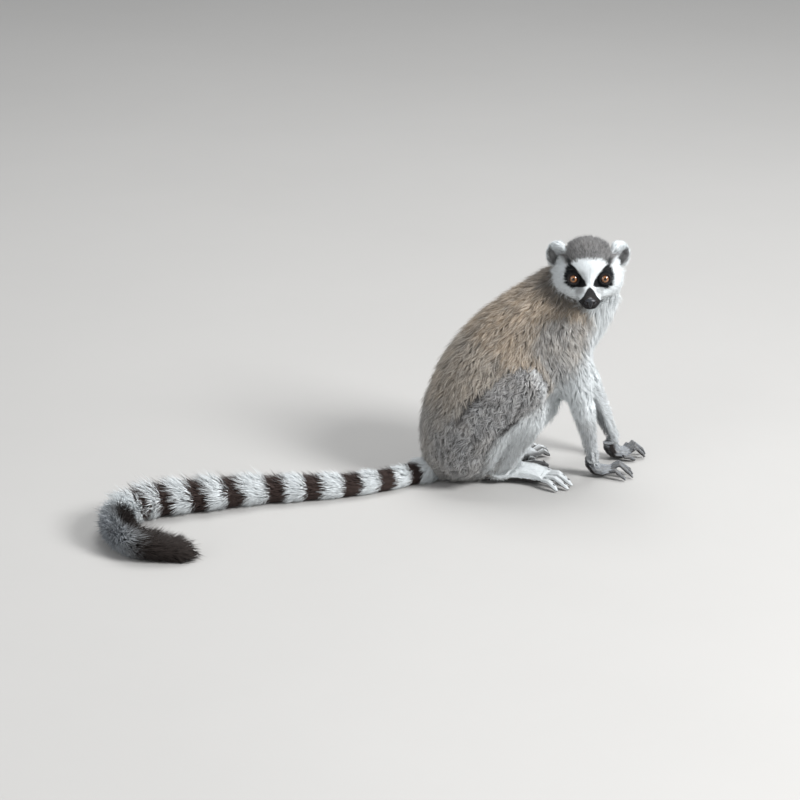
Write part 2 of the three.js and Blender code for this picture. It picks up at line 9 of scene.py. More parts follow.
import json
import logging
import math
from collections.abc import Callable
from dataclasses import astuple, dataclass, field
from enum import Enum, IntEnum
from functools import cache

import bmesh
import bpy
import numpy as np
from bpy.types import ID, Material, Mesh, Node, NodeSocket, NodeTree, Object, bpy_prop_collection
from mathutils import Matrix, Vector, noise
from mathutils.bvhtree import BVHTree
from mathutils.kdtree import KDTree

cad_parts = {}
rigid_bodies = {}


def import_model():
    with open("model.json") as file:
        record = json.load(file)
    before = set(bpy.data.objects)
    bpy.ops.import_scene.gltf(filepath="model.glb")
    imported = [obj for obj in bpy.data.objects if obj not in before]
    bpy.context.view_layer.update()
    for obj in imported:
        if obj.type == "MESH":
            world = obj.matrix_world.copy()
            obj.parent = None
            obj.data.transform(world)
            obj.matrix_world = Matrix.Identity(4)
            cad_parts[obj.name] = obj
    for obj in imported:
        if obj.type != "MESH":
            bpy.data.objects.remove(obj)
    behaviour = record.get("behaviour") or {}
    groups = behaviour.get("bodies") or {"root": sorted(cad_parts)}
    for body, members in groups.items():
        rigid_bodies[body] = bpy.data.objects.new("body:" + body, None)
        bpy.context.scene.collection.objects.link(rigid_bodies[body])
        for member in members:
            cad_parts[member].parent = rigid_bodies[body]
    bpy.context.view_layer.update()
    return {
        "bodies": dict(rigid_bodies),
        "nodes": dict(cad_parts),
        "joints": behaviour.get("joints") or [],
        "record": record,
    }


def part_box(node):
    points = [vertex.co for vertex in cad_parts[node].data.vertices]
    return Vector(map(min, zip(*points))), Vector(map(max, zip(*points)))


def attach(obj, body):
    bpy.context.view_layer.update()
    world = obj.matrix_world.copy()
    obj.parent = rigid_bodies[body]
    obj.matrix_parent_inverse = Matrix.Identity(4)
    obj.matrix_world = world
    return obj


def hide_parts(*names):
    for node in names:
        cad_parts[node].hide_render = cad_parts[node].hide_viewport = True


log = logging.getLogger("lemur")

Values = np.ndarray  # a number or a row of numbers for each point
Points = np.ndarray
Field = Callable[[Points], Values]
Chance = np.random.Generator
Floats = tuple[float, ...]
Pair = tuple[float, float]
Triple = tuple[float, float, float]
Colour = Triple

MM = 0.001  # one millimetre in metres
BODY = "root"
SEED = 20
WHISKER_SEED = 99
SIDES = {"right": -1, "left": 1}
UP = np.array([0.0, 0.0, 1.0])


# ---------------------------------------------------------------- numbers and vectors


def unit(vectors: Points) -> Points:
    """Vectors of length one along the given ones."""
    length = np.linalg.norm(vectors, axis=-1, keepdims=True)
    return vectors / np.maximum(length, 1e-9)


def rise(values: Values, start: float, end: float) -> Values:
    """Smooth step from 0 at start to 1 at end."""
    share = np.clip((values - start) / (end - start), 0.0, 1.0)
    return share * share * (3 - 2 * share)


def fade(values: Values, start: float, end: float) -> Values:
    """Smooth step from 1 at start to 0 at end."""
    return 1 - rise(values, start, end)


def draw_to(rows: Values, share: Values, target: tuple | Values) -> None:
    """Moves each row toward a target, by its own share of the way."""
    rows += share[:, None] * (np.array(target) - rows)


def linear(red: int, green: int, blue: int) -> Colour:
    """Linear colour of a screen colour whose parts run from 0 to 255."""
    parts = np.array([red, green, blue]) / 255
    curved = ((parts + 0.055) / 1.055) ** 2.4
    return tuple(float(n) for n in np.where(parts <= 0.04045, parts / 12.92, curved))


# ---------------------------------------------------------------- distance fields


def elliptic(over_radius: Values, over_square: Values) -> Values:
    """Distance to an ellipse or ellipsoid, near enough for blending.

    Args:
        over_radius: Sum of the squares of offset / radius.
        over_square: Sum of the squares of offset / radius squared.

    Returns:
        Distances, negative inside.
    """
    k0, k1 = np.sqrt(over_radius), np.sqrt(over_square)
    return k0 * (k0 - 1) / np.maximum(k1, 1e-6)


def ellipsoid(points: Points, centre: tuple, radii: tuple) -> Values:
    """Distance to an ellipsoid whose axes lie along X, Y and Z."""
    offset, radii = points - np.array(centre), np.array(radii)
    return elliptic(((offset / radii) ** 2).sum(-1), ((offset / radii**2) ** 2).sum(-1))


def both_sides(points: Points, centre: Triple, radii: Triple) -> list[Values]:
    """Distances to an ellipsoid on the right and to its twin on the left."""
    return [ellipsoid(points, np.array(centre) * (1, side, 1), radii) for side in SIDES.values()]


def sweep(points: Points, stations: list[tuple], steps: int = 3) -> Values:
    """Distance to a body swept through stations, with elliptic sections.

    Args:
        points: Where the distance is wanted.
        stations: Pairs of centre and (half depth, half width). Widths lie along Y.
        steps: Straight lengths between two stations.

    Returns:
        Distances, negative inside.
    """
    centres = np.array([s[0] for s in stations], float)
    sizes = np.array([s[1] for s in stations], float)
    at = np.linspace(0, len(stations) - 1, (len(stations) - 1) * steps + 1)
    line = smooth_line(centres, at)
    sizes = np.stack([np.interp(at, np.arange(len(sizes)), column) for column in sizes.T], -1)
    best = np.full(len(points), np.inf)
    for a, b, size_a, size_b in zip(line[:-1], line[1:], sizes[:-1], sizes[1:]):
        along = b - a
        share = np.clip((points - a) @ along / (along @ along), 0, 1)[:, None]
        offset = points - a - share * along
        deep, wide = (size_a + (size_b - size_a) * share).T
        across2, rest2 = offset[:, 1] ** 2, offset[:, 0] ** 2 + offset[:, 2] ** 2
        made = elliptic(across2 / wide**2 + rest2 / deep**2, across2 / wide**4 + rest2 / deep**4)
        best = np.minimum(best, made)
    return best


def blend(radius: float, *fields: Values) -> Values:
    """Union of distances whose seams are filled to a radius."""
    made = fields[0]
    for other in fields[1:]:
        near = np.maximum(radius - np.abs(made - other), 0) / radius
        made = np.minimum(made, other) - near * near * radius / 4
    return made


def hollowed(made: Values, cut: Values, radius: float) -> Values:
    """Distances with another body cut out, the edge rounded to a radius."""
    return -blend(radius, -made, cut)


def smooth_line(centres: Points, at: Values) -> Points:
    """Places on a centripetal Catmull-Rom curve.

    Args:
        centres: Points that the curve runs through.
        at: Places along it, where 1 is the second point.

    Returns:
        One point for each place.
    """
    padded = np.vstack([2 * centres[0] - centres[1], centres, 2 * centres[-1] - centres[-2]])
    span = np.clip(at.astype(int), 0, len(centres) - 2)
    share = (at - span)[:, None]
    p0, p1, p2, p3 = (padded[span + k] for k in range(4))
    gaps = [np.sqrt(np.linalg.norm(b - a, axis=1, keepdims=True)) for a, b in ((p0, p1), (p1, p2), (p2, p3))]
    start = ((p1 - p0) / gaps[0] - (p2 - p0) / (gaps[0] + gaps[1]) + (p2 - p1) / gaps[1]) * gaps[1]
    end = ((p2 - p1) / gaps[1] - (p3 - p1) / (gaps[1] + gaps[2]) + (p3 - p2) / gaps[2]) * gaps[1]
    return (
        p1
        + start * share
        + (3 * (p2 - p1) - 2 * start - end) * share**2
        + (2 * (p1 - p2) + start + end) * share**3
    )


def slopes(shape: Field, points: Points, step: float = 0.2) -> tuple[Values, Points]:
    """Values of a field at points, and its gradients there."""
    here = shape(points)
    gradient = np.stack([(shape(points + step * axis) - here) / step for axis in np.eye(3)], -1)
    return here, gradient


def surface_net(shape: Field, low: tuple, high: tuple, cell: float) -> tuple[Points, Values]:
    """Zero surface of a field, as quads that face out.

    Args:
        shape: Distance field, negative inside, whose surface stays inside the box.
        low: Lowest corner of the box.
        high: Highest corner of the box.
        cell: Size of the grid's cells.

    Returns:
        Vertices and quads.
    """
    low = np.array(low, float)
    counts = np.ceil((np.array(high) - low) / cell).astype(int) + 1
    grid = np.indices(counts).reshape(3, -1).T
    values = shape(low + grid * cell).reshape(counts)
    cells = counts - 1
    total = np.zeros((cells.prod(), 3))
    hits = np.zeros(cells.prod())
    quads = []
    for axis in range(3):
        ahead, across, up = (np.eye(3, dtype=int)[(axis + k) % 3] for k in range(3))
        near = np.take(values, range(cells[axis]), axis)
        far = np.take(values, range(1, counts[axis]), axis)
        at = np.argwhere((near < 0) != (far < 0))
        before, after = near[tuple(at.T)], far[tuple(at.T)]
        crossing = at + (before / (before - after))[:, None] * ahead
        places = (at - i * across - j * up for i, j in ((0, 0), (1, 0), (1, 1), (0, 1)))
        ring = [np.ravel_multi_index(place.T, cells) for place in places]
        for corner in ring:
            for k in range(3):
                total[:, k] += np.bincount(corner, crossing[:, k], len(total))
            hits += np.bincount(corner, minlength=len(hits))
        ring = np.stack(ring, 1)
        quads.append(np.where((before < 0)[:, None], ring, ring[:, ::-1]))
    used = np.flatnonzero(hits)
    number = np.zeros(len(hits), int)
    number[used] = np.arange(len(used))
    points = low + total[used] / hits[used, None] * cell
    for _ in range(2):
        here, gradient = slopes(shape, points)
        steep = np.maximum((gradient**2).sum(-1), 0.2)
        points -= np.clip(here / steep, -cell / 2, cell / 2)[:, None] * gradient
    return points, number[np.vstack(quads)]


# ---------------------------------------------------------------- meshes


def linked(name: str, data: ID) -> Object:
    """A new object in the scene, made of a mesh, a lamp or a camera."""
    made = bpy.data.objects.new(name, data)
    bpy.context.scene.collection.objects.link(made)
    return made


def make_object(name: str, points: Points, faces: Values, smooth: bool = True) -> Object:
    """Links a new mesh object whose faces all have the same number of corners.

    Args:
        name: The piece's name.
        points: Vertices in millimetres.
        faces: Corners of each face, one row a face.
        smooth: Whether its faces are shaded smooth.

    Returns:
        The object, in metres.
    """
    mesh = bpy.data.meshes.new(name)
    mesh.vertices.add(len(points))
    mesh.vertices.foreach_set("co", (points * MM).astype(np.float32).ravel())
    mesh.loops.add(faces.size)
    mesh.loops.foreach_set("vertex_index", faces.astype(np.int32).ravel())
    mesh.polygons.add(len(faces))
    mesh.polygons.foreach_set("loop_start", np.arange(0, faces.size, faces.shape[1], dtype=np.int32))
    mesh.polygons.foreach_set("use_smooth", np.full(len(faces), smooth))
    mesh.update(calc_edges=True)
    return linked(name, mesh)


def values_of(items: bpy_prop_collection, name: str, size: int, kind: type = np.float32) -> Values:
    """A property of every item of a mesh, one row an item."""
    values = np.empty(len(items) * size, kind)
    items.foreach_get(name, values)
    return values.reshape(-1, size)


def points_of(mesh: Mesh) -> Points:
    """A mesh's vertices in millimetres."""
    return values_of(mesh.vertices, "co", 3).astype(float) / MM


def normals_of(mesh: Mesh) -> Points:
    """A mesh's vertex normals."""
    return values_of(mesh.vertex_normals, "vector", 3).astype(float)


def move_points(mesh: Mesh, points: Points) -> None:
    """Puts a mesh's vertices at new places, given in millimetres."""
    mesh.vertices.foreach_set("co", (points * MM).astype(np.float32).ravel())
    mesh.update()


def triangles_of(mesh: Mesh) -> Values:
    """Vertex numbers of a mesh's triangles."""
    mesh.calc_loop_triangles()
    return values_of(mesh.loop_triangles, "vertices", 3, np.int32)


def edges_of(mesh: Mesh) -> Values:
    """Vertex numbers of a mesh's edges."""
    return values_of(mesh.edges, "vertices", 2, np.int32)


def evened(values: Values, edges: Values, rounds: int, hold: float = 0.0) -> Values:
    """Values at vertices, evened out along the edges.

    Args:
        values: One row a vertex.
        edges: Vertex numbers of each edge's ends.
        rounds: How many times each vertex takes its neighbours' mean.
        hold: Share of its own value that it keeps each time.

    Returns:
        The evened values.
    """
    columns = values.reshape(len(values), -1)
    ends = np.concatenate([edges[:, 0], edges[:, 1]])
    others = np.concatenate([edges[:, 1], edges[:, 0]])
    count = np.maximum(np.bincount(ends, minlength=len(columns)), 1)[:, None]
    for _ in range(rounds):
        mean = np.stack([np.bincount(ends, c[others], len(columns)) for c in columns.T], -1) / count
        columns = hold * columns + (1 - hold) * mean
    return columns.reshape(values.shape)


def set_vectors(mesh: Mesh, name: str, vectors: Values) -> None:
    """Writes a vector attribute on a mesh's vertices."""
    made = mesh.attributes.new(name, "FLOAT_VECTOR", "POINT")
    made.data.foreach_set("vector", vectors.astype(np.float32).ravel())


def remeshed(source: Object, name: str, voxel: float) -> Object:
    """A new object of one even surface round a closed mesh, its cells of a size in millimetres."""
    modifier = source.modifiers.new("even", "REMESH")
    modifier.mode = "VOXEL"
    modifier.voxel_size = voxel * MM
    mesh = settled_mesh(source, name)
    bpy.data.objects.remove(source)
    return linked(name, mesh)


def settled_mesh(source: Object, name: str) -> Mesh:
    """A mesh with the object's modifiers applied."""
    graph = bpy.context.evaluated_depsgraph_get()
    mesh = bpy.data.meshes.new_from_object(source.evaluated_get(graph))
    mesh.name = name
    return mesh


def united(name: str, parts: list[Object]) -> Object:
    """One closed body out of overlapping ones."""
    base = parts[0]
    for part in parts[1:]:
        modifier = base.modifiers.new(part.name, "BOOLEAN")
        modifier.operation = "UNION"
        modifier.solver = "MANIFOLD"
        modifier.object = part
    made = linked(name, settled_mesh(base, name))
    for part in parts:
        bpy.data.objects.remove(part)
    return made


# ---------------------------------------------------------------- head


@dataclass
class Eye:
    """One eyeball's place and gaze, and the lids that close round it, in the head's frame."""

    side: int
    centre: Triple
    radius: float
    outward: float = 4.0  # degrees that the gaze turns away from the nose
    upward: float = 8.0
    lid: float = 1.1  # thickness of the lids
    opening: Triple = (6.0, 6.5, 5.7)  # half sizes of the gap between them

    def turn(self) -> Values:
        """Rotation whose first column is the gaze."""
        around = Matrix.Rotation(math.radians(self.outward * self.side), 3, "Z")
        return np.array(around @ Matrix.Rotation(math.radians(-self.upward), 3, "Y"))

    def local(self, points: Points) -> Points:
        """Points seen from the eye's centre, X along its gaze."""
        return (points - np.array(self.centre)) @ self.turn()

    def clear_of_gap(self, points: Points) -> Values:
        """1 where hair may grow, and 0 on the lids' edges and inside the socket."""
        at = self.local(points)
        gap = np.hypot(at[:, 1] / (self.opening[1] + 0.9), at[:, 2] / (self.opening[2] + 0.9))
        return np.maximum(rise(gap, 0.95, 1.1), at[:, 0] < 0)

    def lidded(self, made: Values, points: Points) -> Values:
        """Adds the lids to the head's distances, with the gap between them.

        Args:
            made: The head's distances.
            points: Where they were taken, in the head's frame.

        Returns:
            Distances of the head with this eye's lids.
        """
        at = self.local(points)
        out = np.linalg.norm(at, axis=1)
        round_gaze = np.hypot(at[:, 1], at[:, 2])
        made = blend(2.5, made, out - self.radius - self.lid)
        made = hollowed(made, ellipsoid(at, (self.radius + 0.6, 0, 0), self.opening), 1.0)
        rim = np.hypot(round_gaze / self.opening[1] - 1.02, (out - self.radius - self.lid) / 4)
        margin = 0.5 * np.exp(-((rim / 0.13) ** 2))
        above = rise(at[:, 2], -1.0, 4.0)
        crease = (0.8 * above + 0.45 * (1 - above)) * np.exp(-(((round_gaze - 9.6) / 0.9) ** 2))
        return made - (margin - crease) * (at[:, 0] > 0)


@dataclass
class Ear:
    """A cupped ear, in the head's frame."""

    side: int
    at: Triple = (-4.0, 36.0, 16.4)
    lean: Triple = (-14.0, -6.0, 26.0)  # turns about X, Y and Z for the left ear
    cup: Triple = (7.8, 12.2, 14.4)
    hollow: Triple = (8.3, 10.6, 12.9)
    hollow_ahead: float = 5.4

    def local(self, points: Points) -> Points:
        """Points in the ear's frame: X out of the cup, Y away from the head, Z up."""
        x, y, z = (math.radians(n) for n in self.lean)
        s = self.side
        turn = Matrix.Rotation(z * s, 3, "Z") @ Matrix.Rotation(y, 3, "Y") @ Matrix.Rotation(x * s, 3, "X")
        at = (points - np.array(self.at) * (1, s, 1)) @ np.array(turn)
        return at * (1, s, 1)

    def field(self, points: Points) -> Values:
        """Distance to the ear, in the head's frame."""
        at = self.local(points)
        shell = hollowed(
            ellipsoid(at, (0, 0, 0), self.cup),
            ellipsoid(at, (self.hollow_ahead, 0.3, -0.2), self.hollow),
            1.0,
        )
        fold = ellipsoid(at, (-3.0, -3.5, 1.0), (3.0, 1.4, 8.0))
        tab = ellipsoid(at, (1.0, -9.0, -7.0), (3.5, 2.2, 4.5))
        base = ellipsoid(at, (-5.0, -12.0, -6.0), (6.5, 13.0, 10.0))
        return blend(2.0, shell, fold, tab, base)


@dataclass
class Head:
    """Flesh of the head, in its own frame: X forward from the skull's centre, Y left, Z up."""

    eye_at: Triple = (25.0, 18.8, -3.5)
    cell: float = 1.05
    muzzle: tuple[tuple, ...] = (  # centres, and half depths and half widths
        ((14, 0, -10), (21, 22)),
        ((34, 0, -16), (14.5, 15.5)),
        ((48, 0, -20.5), (12.3, 13.5)),
        ((57, 0, -23), (10.4, 11.8)),
    )
    face_centre: Triple = (38.0, 0.0, -10.0)
    face_reach: Pair = (25.0, 50.0)  # the coat deepens between these distances
    face_depth: float = 0.9
    coat_depth: float = 6.2
    mouth_at: Pair = (27.0, -24.2)
    mouth_slope: float = -0.09
    mouth_bow: float = 0.004  # how fast the line drops to the sides
    mouth_depth: float = 1.5
    mouth_half: float = 0.75  # half height of the line
    low: Triple = (-50.0, -58.0, -48.0)
    high: Triple = (74.0, 58.0, 48.0)
    origin: Points = field(init=False)
    axes: Points = field(init=False)
    eyes: list[Eye] = field(init=False)
    ears: list[Ear] = field(init=False)

    def __post_init__(self) -> None:
        """Finds the head's frame from its two eyes."""
        centres = {}
        for side in SIDES:
            low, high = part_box(f"eye_{side}")
            centres[side] = np.array((low + high) / 2) / MM
            radius = (high.z - low.z) / 2 / MM
        left = unit(centres["left"] - centres["right"])
        self.axes = np.stack([np.cross(left, UP), left, UP])
        self.origin = (centres["left"] + centres["right"]) / 2
        self.origin = self.origin - np.array([self.eye_at[0], 0, self.eye_at[2]]) @ self.axes
        x, y, z = self.eye_at
        self.eyes = [Eye(s, (x, y * s, z), radius) for s in SIDES.values()]
        self.ears = [Ear(s) for s in SIDES.values()]

    def world(self, points: Points) -> Points:
        """Points of the head's frame in the animal's."""
        return points @ self.axes + self.origin

    def local(self, points: Points) -> Points:
        """Points of the animal's frame in the head's."""
        return (points - self.origin) @ self.axes.T

    def away_from_face(self, points: Points) -> Values:
        """0 on the face, and 1 where the coat is deep, in the head's frame."""
        return rise(np.linalg.norm(points - np.array(self.face_centre), axis=-1), *self.face_reach)

    def depth(self, points: Points) -> Values:
        """Depth of the coat over the skin, in the head's frame."""
        return self.face_depth + self.coat_depth * self.away_from_face(points)

    def outline(self, points: Points) -> Values:
        """Distance to the outside of the head's coat.

        Args:
            points: Where it is wanted, in the head's frame.

        Returns:
            Distances, negative inside.
        """
        skull = ellipsoid(points, (-3, 0, 4), (39, 36.5, 35.2))
        brow = ellipsoid(points, (10, 0, 0), (24, 31, 21))
        cheeks = both_sides(points, (1, 24, -12), (26, 20, 21.5))
        muzzle = sweep(points, list(self.muzzle))
        jaw = ellipsoid(points, (18, 0, -27), (32, 15, 10))
        jowls = both_sides(points, (11, 15, -19), (20, 14, 13.5))
        x, y, z = self.eye_at
        orbits = both_sides(points, (x + 12, y, z), (9, 12, 10))
        whole = blend(8, blend(12, skull, brow, *cheeks), blend(8, muzzle, jaw, *jowls))
        return hollowed(whole, blend(1, *orbits), 7)

    def mouth(self, points: Points) -> Values:
        """How far the line of the mouth is let into the lips."""
        x, y, z = points.T
        line = self.mouth_at[1] + self.mouth_slope * (x - self.mouth_at[0]) - self.mouth_bow * y * y
        return self.mouth_depth * np.exp(-(((z - line) / self.mouth_half) ** 2)) * rise(x, 24, 32)

    def field(self, points: Points) -> Values:
        """Distance to the skin of the head, in its own frame."""
        made = self.outline(points) + self.depth(points)
        made = blend(3, made, *both_sides(points, (50, 6.2, -22.5), (8, 5.5, 4.8)))
        made = hollowed(made, ellipsoid(points, (66, 0, -28.5), (6, 1.0, 3.4)), 1.2)
        made = made + self.mouth(points)
        for eye in self.eyes:
            made = eye.lidded(made, points)
        return blend(3, made, *(ear.field(points) for ear in self.ears))

    def flesh(self) -> Object:
        """The head's skin as a closed mesh with its ears, lids and mouth."""
        cell = self.cell * 1
        points, quads = surface_net(self.field, self.low, self.high, cell)
        return make_object("head_flesh", self.world(points), quads)


# ---------------------------------------------------------------- tail


@dataclass
class Tail:
    """The tail's line along the ground, its core of flesh and the swell of its coat."""

    line_x: Floats = (
        -24, -42, -84, -122, -166, -212, -268, -319, -362, -400, -426, -440, -437, -420, -394, -352
    )
    line_y: Floats = (
        8, 7, -17, -30, -38, -41, -44, -54, -60, -70, -90, -125, -166, -194, -204, -209
    )
    bush: float = 25.0  # radius of the coat where it is deepest
    swell_at: Floats = (0, 0.12, 0.22, 0.4, 0.5, 0.62, 0.7, 0.85, 0.93, 0.98, 1)
    swell: Floats = (0.52, 0.6, 0.66, 0.82, 0.95, 1, 1, 0.88, 0.78, 0.55, 0.3)
    pressed: float = 0.93  # height of the coat's middle, as a share of its radius
    depth_limits: Pair = (3.0, 34.0)
    tip_depth: float = 16.0
    hair_length: float = 1.22  # next to the depth of the coat
    hair_least: float = 16.0
    core: Pair = (8.5, 4.5)  # radius of the flesh at the root and at the tip
    core_share: float = 0.6  # height of the flesh's middle, as a share of the coat's radius
    root_lift: float = 9.0  # what the flesh is lifted where it leaves the rump
    root_share: float = 0.05  # of the line, over which that goes
    flesh_end: float = 0.97
    buried: Triple = (42.0, -6.0, 14.0)  # from the line's start into the rump
    rings: int = 170
    sides: int = 14
    dark_rings: Floats = (41, 83, 129, 177, 223, 278, 321, 363, 397)
    ring_share: float = 0.25  # half a dark ring's length, as a share of the rings' distance
    ring_edge: float = 2.5  # half the length over which a ring's edge goes from dark to pale
    flare: Pair = (0.96, 0.2)  # coat's height on a dark ring, and what a pale one adds
    overhang: float = 4.0  # how far the hair carries its colour past its roots
    plume_from: float = 428.0
    bend_centre: Triple = (-392.0, -140.0, 14.0)
    samples: int = 700
    centres: Points = field(init=False)
    tangents: Points = field(init=False)
    along: Values = field(init=False)

    def __post_init__(self) -> None:
        """Samples the line evenly."""
        corners = np.array([(x, y, 0) for x, y in zip(self.line_x, self.line_y)], float)
        fine = smooth_line(corners, np.linspace(0, len(corners) - 1, 4 * self.samples))
        reach = np.concatenate([[0], np.cumsum(np.linalg.norm(np.diff(fine, axis=0), axis=1))])
        self.along = np.linspace(0, reach[-1], self.samples)
        self.centres = np.stack([np.interp(self.along, reach, column) for column in fine.T], -1)
        self.tangents = unit(np.gradient(self.centres, axis=0))

    def radius(self, along: Values) -> Values:
        """Radius of the coat at distances along the line."""
        return self.bush * np.interp(along / self.along[-1], self.swell_at, self.swell)

    def nearest(self, points: Points) -> Values:
        """Number of the line's sample nearest to each point."""
        tree = KDTree(len(self.centres))
        for i, centre in enumerate(self.centres):
            tree.insert(centre, i)
        tree.balance()
        return np.array([tree.find((x, y, 0.0))[1] for x, y in points[:, :2]])

    def flesh(self) -> Object:
        """The core of flesh as a closed tube."""
        along = np.linspace(0, self.flesh_end * self.along[-1], self.rings)
        number = np.interp(along, self.along, np.arange(self.samples)).astype(int)
        thick = self.core_radius(along)
        thick[-1] *= 0.5
        middle = self.centres[number] + self.core_height(along)[:, None] * UP
        middle[0] += np.array(self.buried)
        side = np.cross(self.tangents[number], UP)
        angle = np.linspace(0, 2 * math.pi, self.sides, endpoint=False)
        points = (
            middle[:, None]
            + (thick[:, None] * np.cos(angle))[..., None] * side[:, None]
            + (thick[:, None] * np.sin(angle))[..., None] * UP
        ).reshape(-1, 3)
        made = make_object("tail_flesh", points, tube_faces(self.rings, self.sides))
        close_ends(made)
        return made

    def core_radius(self, along: Values) -> Values:
        """Radius of the flesh at distances along the line."""
        return np.interp(along / self.along[-1], (0, 1), self.core)

    def core_height(self, along: Values) -> Values:
        """Height of the flesh's middle over the floor."""
        low = self.core_radius(along) + 1.0
        lifted = self.root_lift * fade(along / self.along[-1], 0.0, self.root_share)
        return np.maximum(self.core_share * self.radius(along), low) + lifted

    def depth(self, points: Points, normals: Points, number: Values) -> Values:
        """Distance from the flesh out to the coat's outline, along the normals."""
        along = self.along[number]
        radius = self.radius(along)
        middle = self.centres[number] + (self.pressed * radius)[:, None] * UP
        offset = points - middle
        across = normals - (normals * self.tangents[number]).sum(-1, keepdims=True) * self.tangents[number]
        toward = (offset * unit(across)).sum(-1)
        square = toward**2 - (offset**2).sum(-1) + radius**2
        made = np.sqrt(np.maximum(square, 0)) - toward
        tip = rise(along / self.along[-1], 0.9, 0.97)
        return np.clip(made, *self.depth_limits) * (1 - tip) + self.tip_depth * tip

    def darkness(self, along: Values) -> Values:
        """1 on the dark rings and in the dark tip, and 0 on the pale rings."""
        centres = np.array(self.dark_rings)
        gaps = np.gradient(centres)
        dark = np.zeros(len(along))
        for centre, gap in zip(centres, gaps):
            half, edge = gap * self.ring_share, self.ring_edge
            dark = np.maximum(dark, fade(np.abs(along - centre), half - edge, half + edge))
        return dark


def tube_faces(rings: int, sides: int) -> Values:
    """Quads that join rings of points into an open tube."""
    ring, side = np.divmod(np.arange((rings - 1) * sides), sides)
    following = (side + 1) % sides
    low, high = ring * sides, (ring + 1) * sides
    return np.stack([low + side, low + following, high + following, high + side], 1)


def close_ends(made: Object) -> None:
    """Fills the holes of an open tube and turns its faces out."""
    work = bmesh.new()
    work.from_mesh(made.data)
    bmesh.ops.holes_fill(work, edges=work.edges)
    bmesh.ops.recalc_face_normals(work, faces=work.faces)
    bmesh.ops.triangulate(work, faces=[f for f in work.faces if len(f.verts) > 4])
    work.to_mesh(made.data)
    work.free()


# ---------------------------------------------------------------- how the hair grows


@dataclass(frozen=True)
class Pelage:
    """How the hair of one part of the animal grows. Lengths are in millimetres."""

    depth: float  # from the skin out to the outline
    length: float
    width: float
    spacing: float  # mean distance between two tufts
    curl: float  # how far a tuft strays from the lie of the coat
    clump: float  # how far the tips draw together
    sunk: float = 0.0  # how far the tips stay under the outline

    def row(self) -> Values:
        """The values as a row of numbers."""
        return np.array(astuple(self))


PELAGE = {
    "neck": Pelage(12, 21, 1.05, 1.65, 0.26, 0.35),
    "chest": Pelage(12.5, 24, 1.0, 1.75, 0.28, 0.5),
    "belly": Pelage(12, 24, 1.05, 1.8, 0.30, 0.5),
    "hindquarters": Pelage(12, 24, 1.05, 1.8, 0.34, 0.5),
    "thigh": Pelage(10, 17, 0.95, 1.6, 0.6, 0.6),
    "shank": Pelage(7.5, 14, 0.85, 1.5, 0.24, 0.45),
    "upper_arm": Pelage(9, 17, 0.9, 1.55, 0.32, 0.5),
    "forearm": Pelage(4.5, 9.5, 0.66, 1.3, 0.2, 0.4),
    "hand": Pelage(0.9, 3.4, 0.42, 1.35, 0.15, 0.2),
    "finger": Pelage(0.55, 2.2, 0.36, 1.3, 0.15, 0.1),
    "foot": Pelage(1.5, 4.8, 0.5, 1.35, 0.15, 0.25),
    "toe": Pelage(0.7, 2.8, 0.42, 1.35, 0.15, 0.2),
    "tail": Pelage(15, 25, 1.1, 1.3, 0.14, 0.2),
    "head": Pelage(5, 8, 0.6, 1.0, 0.2, 0.35),
}
DEPTH, LENGTH, WIDTH, SPACING, CURL, CLUMP, SUNK = range(7)  # the values' places in a row
FINGER_NAMES = ("thumb", "finger")
TRUNK = ("neck", "chest", "belly", "hindquarters", "thigh", "upper_arm")
LIMBS = ("shank", "forearm")
PAWS = ("hand", "finger", "foot", "toe")
SUNK_BY = 1.6  # how much further in the hidden end of a limb lies


def kind_of(node: str) -> str:
    """The name in PELAGE of the part that a CAD node belongs to."""
    if node in ("head", "lower_jaw", "nose") or node.startswith(("eye", "ear")):
        return "head"
    if any(name in node for name in FINGER_NAMES):
        return "finger"
    if "toe" in node:
        return "toe"
    return next(kind for kind in PELAGE if node.startswith(kind))


@dataclass
class Nodes:
    """The CAD nodes of the animal's flesh, and which of them lies nearest to a point."""

    frame: dict
    names: list[str] = field(init=False)
    tree: BVHTree = field(init=False)
    owner: Values = field(init=False)
    centre: dict[str, Points] = field(init=False)

    def __post_init__(self) -> None:
        """Gathers the nodes' triangles in one search tree."""
        self.names = sorted(n for n in self.frame["nodes"] if not n.startswith("eye"))
        points, triangles, owner, start = [], [], [], 0
        self.centre = {}
        for number, name in enumerate(self.names):
            mesh = self.frame["nodes"][name].data
            own = points_of(mesh)
            own_triangles = triangles_of(mesh)
            self.centre[name] = own.mean(0)
            points.append(own)
            triangles.append(own_triangles + start)
            owner.append(np.full(len(own_triangles), number))
            start += len(own)
        self.owner = np.concatenate(owner)
        self.tree = BVHTree.FromPolygons(np.vstack(points).tolist(), np.vstack(triangles).tolist())

    def nearest(self, points: Points) -> Values:
        """Number of the node nearest to each point."""
        return self.owner[[self.tree.find_nearest(p)[2] for p in points.tolist()]]

    def gap_between(self, name: str, other: str) -> Points:
        """Middle of the shortest line between two nodes' vertices."""
        own, others = (points_of(self.frame["nodes"][n].data) for n in (name, other))
        gaps = np.linalg.norm(own[:, None] - others[None], axis=2)
        i, j = np.unravel_index(gaps.argmin(), gaps.shape)
        return (own[i] + others[j]) / 2


# ---------------------------------------------------------------- body


